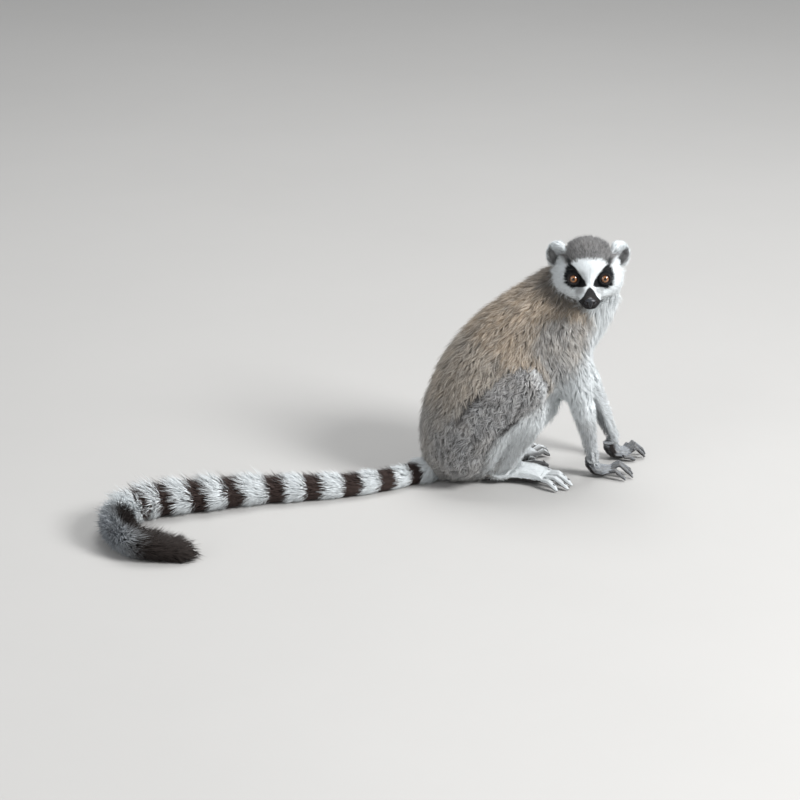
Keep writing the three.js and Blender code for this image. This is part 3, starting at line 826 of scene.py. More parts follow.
@dataclass
class Flesh:
    """Flesh made from some of the CAD solids, drawn in by the depth of the coat."""

    nodes: Nodes
    name: str
    kinds: tuple[str, ...]
    sunk: tuple[str, ...] = ()  # kinds that only carry this flesh on inside another piece of it
    cell: float = 1.2
    closing: float = 0.8  # what each solid grows by, so that the thin cuts between them close
    outline_rounds: int = 4
    rounds: int = 34  # how often the parts that are not paws are evened
    keep: float = 0.16  # share of the faces that is kept where the coat is deep
    web_radius: float = 0.0  # of the flesh between a foot and its big toe
    steps: int = 4  # in which it is drawn in
    levels: int = 4  # of how far the faces are thinned
    outline: BVHTree = field(init=False)

    def solids(self) -> Object:
        """The solids in one mesh, each grown a little."""
        work = bmesh.new()
        for name in self.nodes.names:
            if kind_of(name) in self.kinds + self.sunk:
                work.from_mesh(self.nodes.frame["nodes"][name].data)
        for side in SIDES if self.web_radius else ():
            place = self.nodes.gap_between(f"big_toe_{side}", f"foot_{side}") * MM
            matrix = Matrix.Translation(place)
            bmesh.ops.create_icosphere(work, subdivisions=2, radius=self.web_radius * MM, matrix=matrix)
        bmesh.ops.remove_doubles(work, verts=work.verts, dist=0.01 * MM)
        mesh = bpy.data.meshes.new("solids")
        work.to_mesh(mesh)
        work.free()
        move_points(mesh, points_of(mesh) + self.closing * normals_of(mesh))
        return linked("solids", mesh)

    def build(self) -> Object:
        """Makes the flesh as a closed mesh, and keeps the outline that it lies in."""
        cell = self.cell * 1
        made = remeshed(self.solids(), self.name, cell)
        mesh = made.data
        points, edges = points_of(mesh), edges_of(mesh)
        kind = np.array([kind_of(n) for n in self.nodes.names])[self.nodes.nearest(points)]
        is_paw = np.isin(kind, PAWS)
        depth = np.array([PELAGE[k].depth + SUNK_BY * (k in self.sunk) for k in kind]) + self.closing
        blended = evened(np.stack([is_paw.astype(float), depth], 1), edges, round(26 / self.cell))
        is_even, depth = 1 - blended[:, 0], blended[:, 1]
        points = evened(points, edges, self.outline_rounds, 0.5)
        self.outline = BVHTree.FromPolygons(points.tolist(), triangles_of(mesh).tolist())
        smooth = evened(points, edges, self.rounds)
        points += rise(is_even, 0.3, 0.9)[:, None] * (smooth - points)
        for _ in range(self.steps):
            move_points(mesh, points)
            points -= depth[:, None] / self.steps * normals_of(mesh)
            slack = evened(points, edges, 3, 0.3)
            points += is_even[:, None] * (slack - points)
        points[:, 2] = np.maximum(points[:, 2], 0.1)
        move_points(mesh, points)
        return self.thinned(made, is_even)

    def thinned(self, made: Object, is_even: Values) -> Object:
        """The same flesh with larger faces on the trunk and limbs, which the coat hides."""
        group = made.vertex_groups.new(name="deep")
        for level in range(1, self.levels + 1):
            chosen = np.flatnonzero(np.round(is_even * self.levels) == level)
            group.add(chosen.tolist(), level / self.levels, "REPLACE")
        modifier = made.modifiers.new("thin", "DECIMATE")
        modifier.ratio = self.keep
        modifier.vertex_group = group.name
        modifier.vertex_group_factor = 4.0
        mesh = settled_mesh(made, self.name)
        bpy.data.objects.remove(made)
        return linked(self.name, mesh)


# ---------------------------------------------------------------- skin


FALL = {  # how strongly each part's hair hangs down, next to its lie along the part
    "neck": 0.25,
    "chest": 0.45,
    "belly": 0.6,
    "hindquarters": 0.7,
    "shank": 0.2,
    "upper_arm": 0.35,
    "forearm": 0.0,
}
FOLLOWS = {"neck": "chest", "chest": "belly", "belly": "hindquarters", "hindquarters": "tail_1"}
LIMB_FOLLOWS = {"upper_arm": "forearm", "forearm": "hand", "shank": "foot"}
PAW_FOLLOWS = {"hand": "middle_finger", "foot": "third_toe"}
THIGH_LIE = np.array([-0.45, 0.0, -0.85])
SHANK_LIE = np.array([-0.25, 0.0, -1.0])
FACE_HAIR_GROWTH = Pelage(0.9, 2.6, 0.40, 0.95, 0.12, 0.2)
RUFF_GROWTH = Pelage(8.2, 13.0, 0.62, 1.1, 0.24, 0.35)
MUZZLE_GROWTH = Pelage(0.6, 1.3, 0.34, 0.95, 0.1, 0.0)
EAR_GROWTH = Pelage(0.9, 3.6, 0.34, 1.0, 0.2, 0.2)
EAR_TUFT_GROWTH = Pelage(10.0, 11.0, 0.5, 0.55, 0.1, 1.0)


@dataclass(frozen=True)
class Crease:
    """A furrow in the coat along a line on both sides of the body, given as (x, z) in millimetres, with
    painted shade laid into it.
    """

    line: tuple[Pair, ...]
    depth: float
    half_width: float
    shade: float  # painted shade: how much darker the coat is painted in the furrow

    def share(self, points: Points) -> Values:
        """1 in the middle of the furrow and 0 away from it."""
        flat = points[:, [0, 2]]
        best = np.full(len(points), np.inf)
        corners = np.array(self.line, float)
        for a, b in zip(corners[:-1], corners[1:]):
            along = b - a
            share = np.clip((flat - a) @ along / (along @ along), 0, 1)[:, None]
            best = np.minimum(best, np.linalg.norm(flat - a - share * along, axis=1))
        return np.exp(-((best / self.half_width) ** 2)) * rise(np.abs(points[:, 1]), 36, 50)


SHANK_EDGE = ((17.0, 30.7), (20.5, 63.3), (33.9, 86.1), (56.1, 106.9), (76.0, 121.0))
THIGH_TOP = ((65.8, 172.0), (47.0, 156.5), (16.8, 132.0))
THIGH_BACK = ((16.8, 132.0), (2.1, 119.0), (-10.5, 97.0))
KNEE_EDGE = ((66.0, 172.0), (85.8, 162.0), (92.3, 145.0), (94.5, 119.0), (95.0, 99.0))
# each crease sinks the coat by its depth and paints shade into it by its last number
CREASES = (
    Crease(SHANK_EDGE, 5.0, 4.0, 0.4),
    Crease(((38.0, 88.0), (57.0, 104.0)), 4.5, 3.6, 0.5),
    Crease(THIGH_TOP, 6.0, 4.5, 0.36),
    Crease(THIGH_BACK, 8.0, 5.5, 0.6),
    Crease(KNEE_EDGE, 6.5, 4.0, 0.36),
)
CREASED = ("thigh", "shank", "hindquarters", "belly")


def before_line(points: Points, line: tuple[Pair, ...]) -> Values:
    """How far points lie before a line of (x, z) that runs up the leg."""
    edge_x, edge_z = np.array(sorted(line, key=lambda at: at[1])).T
    return points[:, 0] - np.interp(points[:, 2], edge_z, edge_x)


def on_shank(points: Points) -> Values:
    """1 on the lower leg, which starts at the furrow in front of the thigh, and 0 behind it."""
    return rise(before_line(points, SHANK_EDGE), -5.0, 11.0) * fade(points[:, 2], 100, 130)


@dataclass
class Skin:
    """The one skin of the animal, with how the hair grows and how it is marked at each vertex."""

    nodes: Nodes
    head: Head
    tail: Tail
    lump_size: float = 11.0  # of the locks that the wool of trunk and thighs gathers in
    ear_reach: float = 1.2  # how far past an ear's form the skin is its own
    face_share: float = 0.45  # of the way from the face to the deep coat, where the face's coat ends
    outlines: tuple = field(init=False)
    made: Object = field(init=False)
    points: Points = field(init=False)
    normals: Points = field(init=False)
    triangles: Values = field(init=False)
    node: Values = field(init=False)
    kind: Values = field(init=False)
    on_head: Points = field(init=False)
    on_tail: Values = field(init=False)
    growth: Values = field(init=False)
    lie: Points = field(init=False)
    marks: Values = field(init=False)
    hairy: Values = field(init=False)
    regions: dict[str, Values] = field(init=False)
    side: Values = field(init=False)
    tree: BVHTree = field(init=False)

    def __post_init__(self) -> None:
        """Builds the skin and reads off it all that the coat needs."""
        trunk = Flesh(self.nodes, "trunk_flesh", TRUNK, sunk=LIMBS)
        limbs = Flesh(
            self.nodes, "limb_flesh", LIMBS + PAWS, cell=0.7, closing=0.4, rounds=40, keep=0.3, web_radius=6.0
        )
        parts = [trunk.build(), limbs.build(), self.head.flesh(), self.tail.flesh()]
        self.outlines = ((TRUNK, trunk), (LIMBS + PAWS, limbs))
        self.made = united("skin", parts)
        mesh = self.made.data
        self.points, self.normals, self.triangles = points_of(mesh), normals_of(mesh), triangles_of(mesh)
        edges = edges_of(mesh)
        self.node = self.nodes.nearest(self.points)
        kinds = list(PELAGE)
        self.kind = np.array([kinds.index(kind_of(n)) for n in self.nodes.names])[self.node]
        self.on_head = self.head.local(self.points)
        self.on_tail = self.tail.nearest(self.points)
        self.tree = BVHTree.FromPolygons(self.points.tolist(), self.triangles.tolist())
        self.growth = self.grown(edges)
        self.lie = self.laid(edges)
        self.marks = Markings(self).marks(edges)
        set_vectors(mesh, "marks", self.marks)
        set_vectors(mesh, "strand", np.tile((0.3, 0.5, 0.5), (len(self.points), 1)))
        self.divide()

    def divide(self) -> None:
        """Divides the head and the tail between the pieces of the coat, and finds the bare skin."""
        head, tail = self.is_kind("head"), self.is_kind("tail")
        ears = np.min([ear.field(self.on_head) for ear in self.head.ears], 0)
        in_ears = head & (ears < self.ear_reach)
        in_face = head & ~in_ears & (self.head.away_from_face(self.on_head) < self.face_share)
        in_rings = tail & (self.tail.along[self.on_tail] + self.tail.overhang < self.tail.plume_from)
        self.regions = {
            "ears": in_ears,
            "face": in_face,
            "ruff": head & ~in_ears & ~in_face,
            "rings": in_rings,
            "plume": tail & ~in_rings,
        }
        self.hairy = np.ones(len(self.points))
        for eye in self.head.eyes:
            self.hairy *= eye.clear_of_gap(self.on_head)
        self.hairy *= rise(ellipsoid(self.on_head, (61.5, 0, -20.6), (6.4, 7.6, 5.8)), 0.2, 0.6)
        paw = self.is_kind("hand", "finger", "foot", "toe")
        under = rise(-self.normals[:, 2], 0.1, 0.4) * (self.points[:, 2] < 8) * paw
        self.hairy *= 1 - under
        self.side = np.sign(np.where(head, self.on_head[:, 1], self.points[:, 1]))

    def is_kind(self, *kinds: str) -> Values:
        """Which vertices belong to parts of these kinds."""
        return np.isin(self.kind, [list(PELAGE).index(k) for k in kinds])

    def region(self, names: tuple[str, ...]) -> Values:
        """Which vertices lie in a region of head or tail, or belong to parts of these kinds."""
        return self.regions[names[0]] if names[0] in self.regions else self.is_kind(*names)

    def grown(self, edges: Values) -> Values:
        """How the hair grows at each vertex, evened where parts meet.

        Args:
            edges: Vertex numbers of the skin's edges.

        Returns:
            One row of Pelage's values a vertex.
        """
        rows = np.array([p.row() for p in PELAGE.values()])[self.kind]
        rows = evened(rows, edges, 14)
        woolly = self.is_kind("thigh", "hindquarters", "belly", "chest", "upper_arm")
        lumps = np.array([noise.noise(p / self.lump_size) for p in map(Vector, self.points)])
        rows[:, SUNK] = woolly * (1.0 + 3.0 * lumps) + self.is_kind("thigh") * (0.8 + 2.6 * lumps)
        lower = on_shank(self.points) * self.is_kind("thigh", "shank")
        rows[:, CURL:SUNK] *= 1 - 0.6 * lower[:, None]
        for crease in CREASES:
            rows[:, SUNK] += crease.depth * crease.share(self.points) * self.is_kind(*CREASED)
        rows[:, SUNK] = np.maximum(evened(rows[:, SUNK], edges, 2), 0)
        along = self.tail.along[self.on_tail]
        low, more = self.tail.flare
        flare = low + more * (1 - self.tail.darkness(along + self.tail.overhang))
        flare += rise(along, self.tail.plume_from - 20, self.tail.plume_from) * (1.05 - flare)
        depth = self.tail.depth(self.points, self.normals, self.on_tail) * flare
        far = rise(along, 5, 40) * self.is_kind("tail")
        length = np.maximum(depth * self.tail.hair_length, self.tail.hair_least)
        draw_to(rows[:, : LENGTH + 1], far, np.stack([depth, length], 1))
        on_head = rise(-self.head.outline(self.on_head), -1.5, 0.5)[:, None] * self.is_kind("head")[:, None]
        return rows * (1 - on_head) + self.head_growth() * on_head

    def head_growth(self) -> Values:
        """Pelage's values over the head, which run from the short face to the deep cheeks."""
        away = self.head.away_from_face(self.on_head)
        rows = FACE_HAIR_GROWTH.row() + away[:, None] * (RUFF_GROWTH.row() - FACE_HAIR_GROWTH.row())
        draw_to(rows, rise(self.on_head[:, 0], 40, 50), MUZZLE_GROWTH.row())
        for ear in self.head.ears:
            near = fade(ear.field(self.on_head), 0.5, 2.5)
            draw_to(rows, near, EAR_GROWTH.row())
            own = ear.local(self.on_head)
            top = rise(own[:, 2], 11.0, 13.0) * fade(np.abs(own[:, 1] + 1.0), 1.0, 2.6)
            draw_to(rows, near * top, EAR_TUFT_GROWTH.row())
        return rows

    def laid(self, edges: Values) -> Points:
        """The way that the hair lies at each vertex.

        Args:
            edges: Vertex numbers of the skin's edges.

        Returns:
            Unit vectors along the skin.
        """
        lie = np.zeros((len(self.nodes.names), 3))
        centre = self.nodes.centre
        for number, name in enumerate(self.nodes.names):
            kind, _, side = name.rpartition("_")
            if name in FOLLOWS:
                lie[number] = unit(centre[FOLLOWS[name]] - centre[name]) - FALL[name] * UP
            elif kind in LIMB_FOLLOWS:
                lie[number] = unit(centre[f"{LIMB_FOLLOWS[kind]}_{side}"] - centre[name]) - FALL[kind] * UP
            elif kind in PAW_FOLLOWS:
                lie[number] = centre[f"{PAW_FOLLOWS[kind]}_{side}"] - centre[name]
            elif kind == "thigh":
                lie[number] = THIGH_LIE
            elif kind_of(name) in ("finger", "toe"):
                base = "hand" if kind_of(name) == "finger" else "foot"
                lie[number] = centre[name] - centre[f"{base}_{side}"]
        lie = unit(lie)[self.node]
        leg = self.is_kind("thigh", "shank")
        lower = (on_shank(self.points) * leg)[:, None]
        lie = lie + lower * (unit(SHANK_LIE) - lie)
        tail = self.is_kind("tail")
        lie[tail] = self.tail.tangents[self.on_tail][tail]
        lie = self.along_skin(lie)
        for _ in range(3):
            lie = self.along_skin(evened(lie, edges, 8))
        head = self.is_kind("head")
        lie[head] = self.head_lie()[head]
        return self.along_skin(evened(self.along_skin(lie), edges, 2))

    def head_lie(self) -> Points:
        """The lie over the head: away from the nose, and up and out on the ears."""
        at = self.on_head
        lie = unit(at - np.array([64.0, 0.0, -12.0]))
        lie = lie + 0.35 * unit(at * (0, 1, 1)) * rise(at[:, 0], 8, 30)[:, None]
        lie[:, 2] -= 0.55 * rise(-at[:, 2], 2, 25) * rise(30 - at[:, 0], 0, 20)
        for ear in self.head.ears:
            near = fade(ear.field(at), 0.5, 2.5)[:, None]
            lie = lie * (1 - near) + near * np.array([0.1, 0.55 * ear.side, 1.0])
        return lie @ self.head.axes

    def along_skin(self, vectors: Points) -> Points:
        """Vectors turned into the skin's own plane, of length one."""
        return unit(vectors - (vectors * self.normals).sum(1, keepdims=True) * self.normals)


class Mark(IntEnum):
    """Column of each marking's strength at a vertex."""

    WHITE = 0
    DARK = 1
    WARM = 2


def polygon(points: Values, corners: list[tuple]) -> Values:
    """Distance to a convex polygon, negative inside.

    Args:
        points: Places in the polygon's plane.
        corners: Its corners, each to the right of the one before when seen from its middle.

    Returns:
        Distances to the nearest side's line.
    """
    corners = np.array(corners, float)
    sides = unit(np.roll(corners, -1, axis=0) - corners)
    outward = np.stack([-sides[:, 1], sides[:, 0]], 1)
    return ((points[:, None] - corners) * outward).sum(-1).max(1)


@dataclass
class Markings:
    """The colour pattern of the coat, with some painted shade and a painted highlight, worked out at each
    vertex of the skin.
    """

    skin: Skin
    face_tilt: float = 20.0  # the face's pattern is laid out on a plane that leans back by this
    gland_height: float = 60.0
    gland_forward: float = -2.0  # how far it lies before the middle of the forearm
    cap_edge: float = 9.8
    cap_half_width: float = 26.0
    shank: Triple = (0.84, 0.0, 0.15)
    patch_out: Floats = (  # corners of the eye's patch, outward and up from the eye's centre
        -14.3, -9.0, -3.3, 0.5, 4.2, 7.0, 8.8, 8.6, 6.8, 1.5, -5.5, -11.5, -14.8
    )
    patch_up: Floats = (
        -5.0, 3.5, 10.3, 14.2, 14.8, 11.8, 5.5, -1.5, -6.5, -9.8, -10.8, -11.3, -10.0
    )
    muzzle_height: Floats = (-40, -37.5, -34.5, -31, -28.2, -25.5, -23.6)
    muzzle_half: Floats = (14, 10.5, 7.8, 6.0, 4.4, 2.6, 0.0)  # half width of the dark there
    grey_share: tuple[tuple[str, float, float, float], ...] = (
        # kind, and how white, dark and warm it is on its outer side
        ("neck", 0.08, 0.1, 0.75),
        ("chest", 0.14, 0.0, 0.95),
        ("belly", 0.2, 0.0, 0.95),
        ("hindquarters", 0.2, 0.03, 0.4),
        ("thigh", 0.16, 0.0, 0.1),
        ("shank", 0.78, 0.0, 0.1),
        ("upper_arm", 0.3, 0.0, 0.3),
        ("forearm", 0.55, 0.0, 0.0),
        ("hand", 0.25, 0.16, 0.0),
        ("finger", 0.12, 0.24, 0.0),
        ("foot", 0.88, 0.0, 0.0),
        ("toe", 0.8, 0.0, 0.0),
        ("tail", 0.9, 0.0, 0.1),
        ("head", 0.95, 0.0, 0.0),
    )

    def marks(self, edges: Values) -> Values:
        """How white, dark and warm each vertex is."""
        table = {name: row for name, *row in self.grey_share}
        made = np.array([table[k] for k in PELAGE])[self.skin.kind]
        made = evened(made, edges, 6)
        self.mark_trunk(made)
        made = evened(made, edges, 2)
        self.mark_limbs(made)
        self.mark_tail(made)
        head = self.skin.is_kind("head")
        made[head] = self.face()[head]
        return np.clip(made, 0, 1)

    def mark_trunk(self, made: Values) -> None:
        """Whitens the throat, chest and belly, and darkens the nape, partly with painted shade under the
        head.

        Args:
            made: The marks so far, which it changes.
        """
        skin = self.skin
        centre = skin.nodes.centre
        start = centre["hindquarters"]
        axis = unit((centre["neck"] - start) * (1, 0, 1))
        front = np.array([axis[2], 0.0, -axis[0]])
        offset = skin.points - start
        offset = offset - np.outer(offset @ axis, axis)
        facing = unit(offset) @ front
        x, _, z = skin.points.T
        ventral = rise(facing, 0.42, 0.72)
        throat = rise(x - np.interp(z, (190, 206, 230, 240), (158, 155, 150, 147)), 0, 7) * rise(z, 172, 190)
        trunk = skin.is_kind("neck", "chest", "belly", "hindquarters", "upper_arm")
        white = np.maximum(ventral, throat) * trunk * rise(z, 20, 60)
        draw_to(made, white, (0.95, 0.0, 0.0))
        arm = skin.is_kind("upper_arm") * rise(z, 130, 185)
        draw_to(made, 0.85 * arm * (1 - white), (0.22, 0.0, 0.75))
        # the upper neck is darker: partly its own grey, partly painted shade under the head
        nape = skin.is_kind("neck") * (1 - white) * rise(z, 222, 244)
        made[:, Mark.DARK] += 0.34 * nape
        made[:, Mark.WARM] *= 1 - 0.5 * nape

    def mark_limbs(self, made: Values) -> None:
        """Whitens the limbs' inner sides, darkens the soles and adds the forearm's gland; paints
        shade into the creases, on the fingers' sides and on the feet's inner sides, and paints a
        highlight on the thigh behind the knee.

        Args:
            made: The marks so far, which it changes.
        """
        skin = self.skin
        draw_to(made, on_shank(skin.points) * skin.is_kind("thigh", "shank"), self.shank)
        ahead = before_line(skin.points, KNEE_EDGE)
        height = skin.points[:, 2]
        leg = skin.is_kind("thigh") * rise(height, 92, 112)
        # painted highlight: a whiter band on the thigh just behind the knee's edge
        made[:, Mark.WHITE] += 0.3 * leg * rise(ahead, -15, -6) * fade(ahead, -3, 2)
        draw_to(made, leg * rise(ahead, -1, 4), (0.28, 0.0, 0.8))
        # painted shade in the creases
        for crease in CREASES:
            made[:, Mark.DARK] += crease.shade * (crease.share(skin.points) * skin.is_kind(*CREASED))
        for side, sign in SIDES.items():
            own = np.isin(skin.node, [i for i, n in enumerate(skin.nodes.names) if n.endswith(side)])
            own &= ~skin.is_kind("head")
            inner = rise(-sign * skin.normals[:, 1], 0.1, 0.7) * own
            limb = inner * skin.is_kind("upper_arm", "forearm", "thigh", "shank")
            made[:, Mark.WHITE] += 0.4 * limb * (1 - made[:, Mark.WHITE])
            self.mark_gland(made, side, sign, own)
        paw = skin.is_kind("hand", "finger", "foot", "toe")
        sole = rise(-skin.normals[:, 2], 0.15, 0.6) * rise(14 - skin.points[:, 2], 0, 5) * paw
        draw_to(made, sole, (0.0, 0.85, 0.0))
        # painted shade: fingers darker where they face sideways or down, between one another
        finger_side_shade = skin.is_kind("finger") * rise(0.25 - skin.normals[:, 2], 0, 0.5)
        made[:, Mark.DARK] += 0.4 * finger_side_shade * (1 - sole)
        centre = skin.nodes.centre
        for side, sign in SIDES.items():
            own = skin.points[:, 1] * sign > 0
            ahead = unit((centre[f"middle_finger_{side}"] - centre[f"hand_{side}"]) * (1, 1, 0))
            heel = rise(-skin.normals @ ahead, 0.1, 0.6) * fade(height, 15, 24) * own
            # painted shade on the inner sides of the feet and toes, which face the other foot
            inside = rise(-sign * skin.normals[:, 1], -0.1, 0.5) * fade(height, 12, 20) * own
            foot = 0.6 * inside * skin.is_kind("foot", "toe")
            draw_to(made, np.maximum(0.8 * heel * skin.is_kind("hand"), foot), (0.0, 0.9, 0.0))

    def mark_gland(self, made: Values, side: str, sign: int, own: Values) -> None:
        """The bare dark oval inside a forearm and the dark stripe from it to the palm.

        Args:
            made: The marks so far, which it changes.
            side: Name of the side.
            sign: Which way that side lies along Y.
            own: Which vertices belong to it.
        """
        skin = self.skin
        hand, elbow = (skin.nodes.centre[f"{name}_{side}"] for name in ("hand", "upper_arm"))
        along = unit(hand - skin.nodes.centre[f"forearm_{side}"])
        inner = unit(np.array([0.0, -sign, 0.0]) + sign * along[1] * along)
        share = (self.gland_height - hand[2]) / (elbow[2] - hand[2])
        offset = skin.points - (hand + share * (elbow - hand))
        down, forward = offset @ along, -sign * (offset @ np.cross(along, inner))
        faces_in = rise(skin.normals @ inner, 0.05, 0.4) * own
        oval = np.hypot(down / 8, (forward - self.gland_forward) / 4.6)
        gland = fade(oval, 0.85, 1.1) * rise(oval, 0.15, 0.4)
        stripe = fade(np.abs(forward - self.gland_forward + 2), 2.0, 4.4) * rise(down, 8, 14)
        stripe *= fade(down, 50, 56)
        dark = np.maximum(gland, 0.9 * stripe) * faces_in * skin.is_kind("forearm", "hand", "upper_arm")
        draw_to(made, dark, (0.0, 0.95, 0.0))

    def mark_tail(self, made: Values) -> None:
        """The tail's dark rings, its grey bend and its dark plume."""
        skin, tail = self.skin, self.skin.tail
        along = tail.along[skin.on_tail] + tail.overhang
        dark = tail.darkness(along)
        out = rise(((skin.points - np.array(tail.bend_centre)) * skin.normals).sum(1), -5, 25)
        plume = rise(along, tail.plume_from, tail.plume_from + 26)
        greyed = plume * out * fade(along, tail.plume_from + 85, tail.plume_from + 125)
        dark = np.maximum(dark, plume * (1 - 0.88 * greyed))
        own = skin.is_kind("tail")
        made[own, Mark.DARK] = dark[own]
        made[own, Mark.WHITE] = (0.93 - 0.62 * greyed)[own]

    def face(self) -> Values:
        """The head's pattern: dark cap, eye patches and muzzle on white, with painted shade below the eyes.
        """
        skin = self.skin
        at = skin.on_head
        x, y, z = at.T
        tilt = math.radians(self.face_tilt)
        height = z * math.cos(tilt) - x * math.sin(tilt)
        made = np.tile((0.96, 0.0, 0.0), (len(at), 1))
        wide = np.abs(y)
        edge = np.interp(wide, (0, 12, 17, 24), (self.cap_edge, self.cap_edge - 0.6, 6.5, 3.4))
        cap = rise(height - edge, -1.6, 1.6)
        cap = np.maximum(cap, rise(-x, 12, 24) * rise(z, -34, -22))
        cap *= fade(wide, self.cap_half_width - 2, self.cap_half_width + 2)
        draw_to(made, cap, (0.06, 0.32, 0.2))
        eye_height = skin.head.eye_at[2] * math.cos(tilt) - skin.head.eye_at[0] * math.sin(tilt)
        for side in SIDES.values():
            out, up = side * y - skin.head.eye_at[1], height - eye_height
            patch = polygon(np.stack([out, up], 1), list(zip(self.patch_out, self.patch_up)))
            link = np.hypot(out - 3.2, 0.3 * (up - 16)) - 1.6
            dark = np.maximum(fade(patch, -0.7, 0.9), 0.6 * fade(link, -0.9, 0.9)) * rise(x, -2, 6)
            draw_to(made, dark, (0.0, 1.0, 0.0))
            # painted shade: a greyer patch below and inward of each eye, beside the muzzle
            shade = np.hypot((out + 7.5) / 6, (up + 15.5) / 5)
            made[:, Mark.WHITE] -= 0.5 * fade(shade, 0.4, 1.3) * (1 - dark)
        half = np.interp(height, self.muzzle_height, self.muzzle_half)
        muzzle = fade(wide - half, -0.7, 0.7) * rise(x, 33, 38)
        muzzle *= rise(z, -31.5, -30.0) + fade(z, -31.5, -30.0) * rise(x, 56, 58)
        draw_to(made, muzzle, (0.0, 0.97, 0.0))
        self.mark_ears(made, at)
        return made

    def mark_ears(self, made: Values, at: Points) -> None:
        """White ears whose cups are dark grey inside, low and toward the outer edge."""
        for ear in self.skin.head.ears:
            own = ear.local(at)
            near = fade(ear.field(at), 0.5, 2.5)
            draw_to(made, near, (0.95, 0.0, 0.0))
            inside = near * fade(ellipsoid(own, (ear.hollow_ahead, 0.3, -0.2), ear.hollow), 0.5, 1.5)
            draw_to(made, 0.5 * inside, (0.7, 0.12, 0.0))
            draw_to(made, inside * rise(own[:, 1] - 0.5 * own[:, 2], 0, 4.5), (0.25, 0.52, 0.0))


# ---------------------------------------------------------------- tufts


@dataclass(frozen=True)
class Tuft:
    """Shape of a tuft: its rings from the root to the tip, as shares of its own sizes."""

    runs: Floats = (0.0, 0.38, 1.0)  # of the distance it covers along the skin
    heights: Floats = (0.0, 0.62, 1.0)
    widths: Floats = (0.9, 1.0, 0.0)
    thick: float = 0.42  # thickness as a share of the width


ROOT_DEPTH = 0.35  # how far a tuft starts under the skin
PATCH = 0.003  # size of a tuft's patch in the UV map
CORNERS = 3
EVEN_STEPS = (0.7548776662, 0.5698402910)  # between roots, which spread them evenly over a triangle


def spikes(name: str, paths: Points, widths: Values, ups: Points, thick: float) -> Object:
    """Closed three-sided spikes in one mesh.

    Args:
        name: The piece's name.
        paths: Middle of each ring of each spike, root first and tip last.
        widths: Full width at each ring; the tip's is not used.
        ups: The direction that each spike's ridge faces.
        thick: Thickness as a share of the width.

    Returns:
        The piece. Its vertices run spike by spike: the rings, then the tip.
    """
    count, rings = paths.shape[:2]
    ahead = unit(np.gradient(paths, axis=1))
    side = unit(np.cross(ahead, ups[:, None]))
    up = np.cross(side, ahead)
    half = widths[..., None] / 2
    corners = [side * half, 2 * thick * up * half, -side * half]
    body = paths[:, :-1, None] + np.stack(corners, 2)[:, :-1]
    points = np.concatenate([body.reshape(count, -1, 3), paths[:, -1:]], 1)
    faces = spike_faces(rings)
    size = points.shape[1]
    every = (faces[None] + size * np.arange(count)[:, None, None]).reshape(-1, 3)
    return make_object(name, points.reshape(-1, 3), every)


def spike_faces(rings: int) -> Values:
    """Triangles of one spike whose last ring is a point."""
    faces = [(0, 1, 2)]
    for ring in range(rings - 2):
        for corner in range(CORNERS):
            a, b = ring * CORNERS + corner, ring * CORNERS + (corner + 1) % CORNERS
            faces += [(a, a + CORNERS, b), (b, a + CORNERS, b + CORNERS)]
    top = (rings - 2) * CORNERS
    tip = top + CORNERS
    faces += [(top + k, tip, top + (k + 1) % CORNERS) for k in range(CORNERS)]
    return np.array(faces)


class Chart(Enum):
    """How a piece's tufts are laid out in its UV map, always round the skin's own shape."""

    ROUND = "angle round an upright axis, and height seen from its middle"
    PAIR = "a half of the map for each side, by the angle round the limb and the place along it"
    TAIL = "place along the tail and angle round it"


@dataclass(frozen=True)
class CoatPiece:
    """One piece of the coat: where it grows, how many tufts it has and what it is made of."""

    name: str
    region: tuple[str, ...]  # kinds of part, or a region of the head or the tail
    chart: Chart
    tufts: int
    slot: str


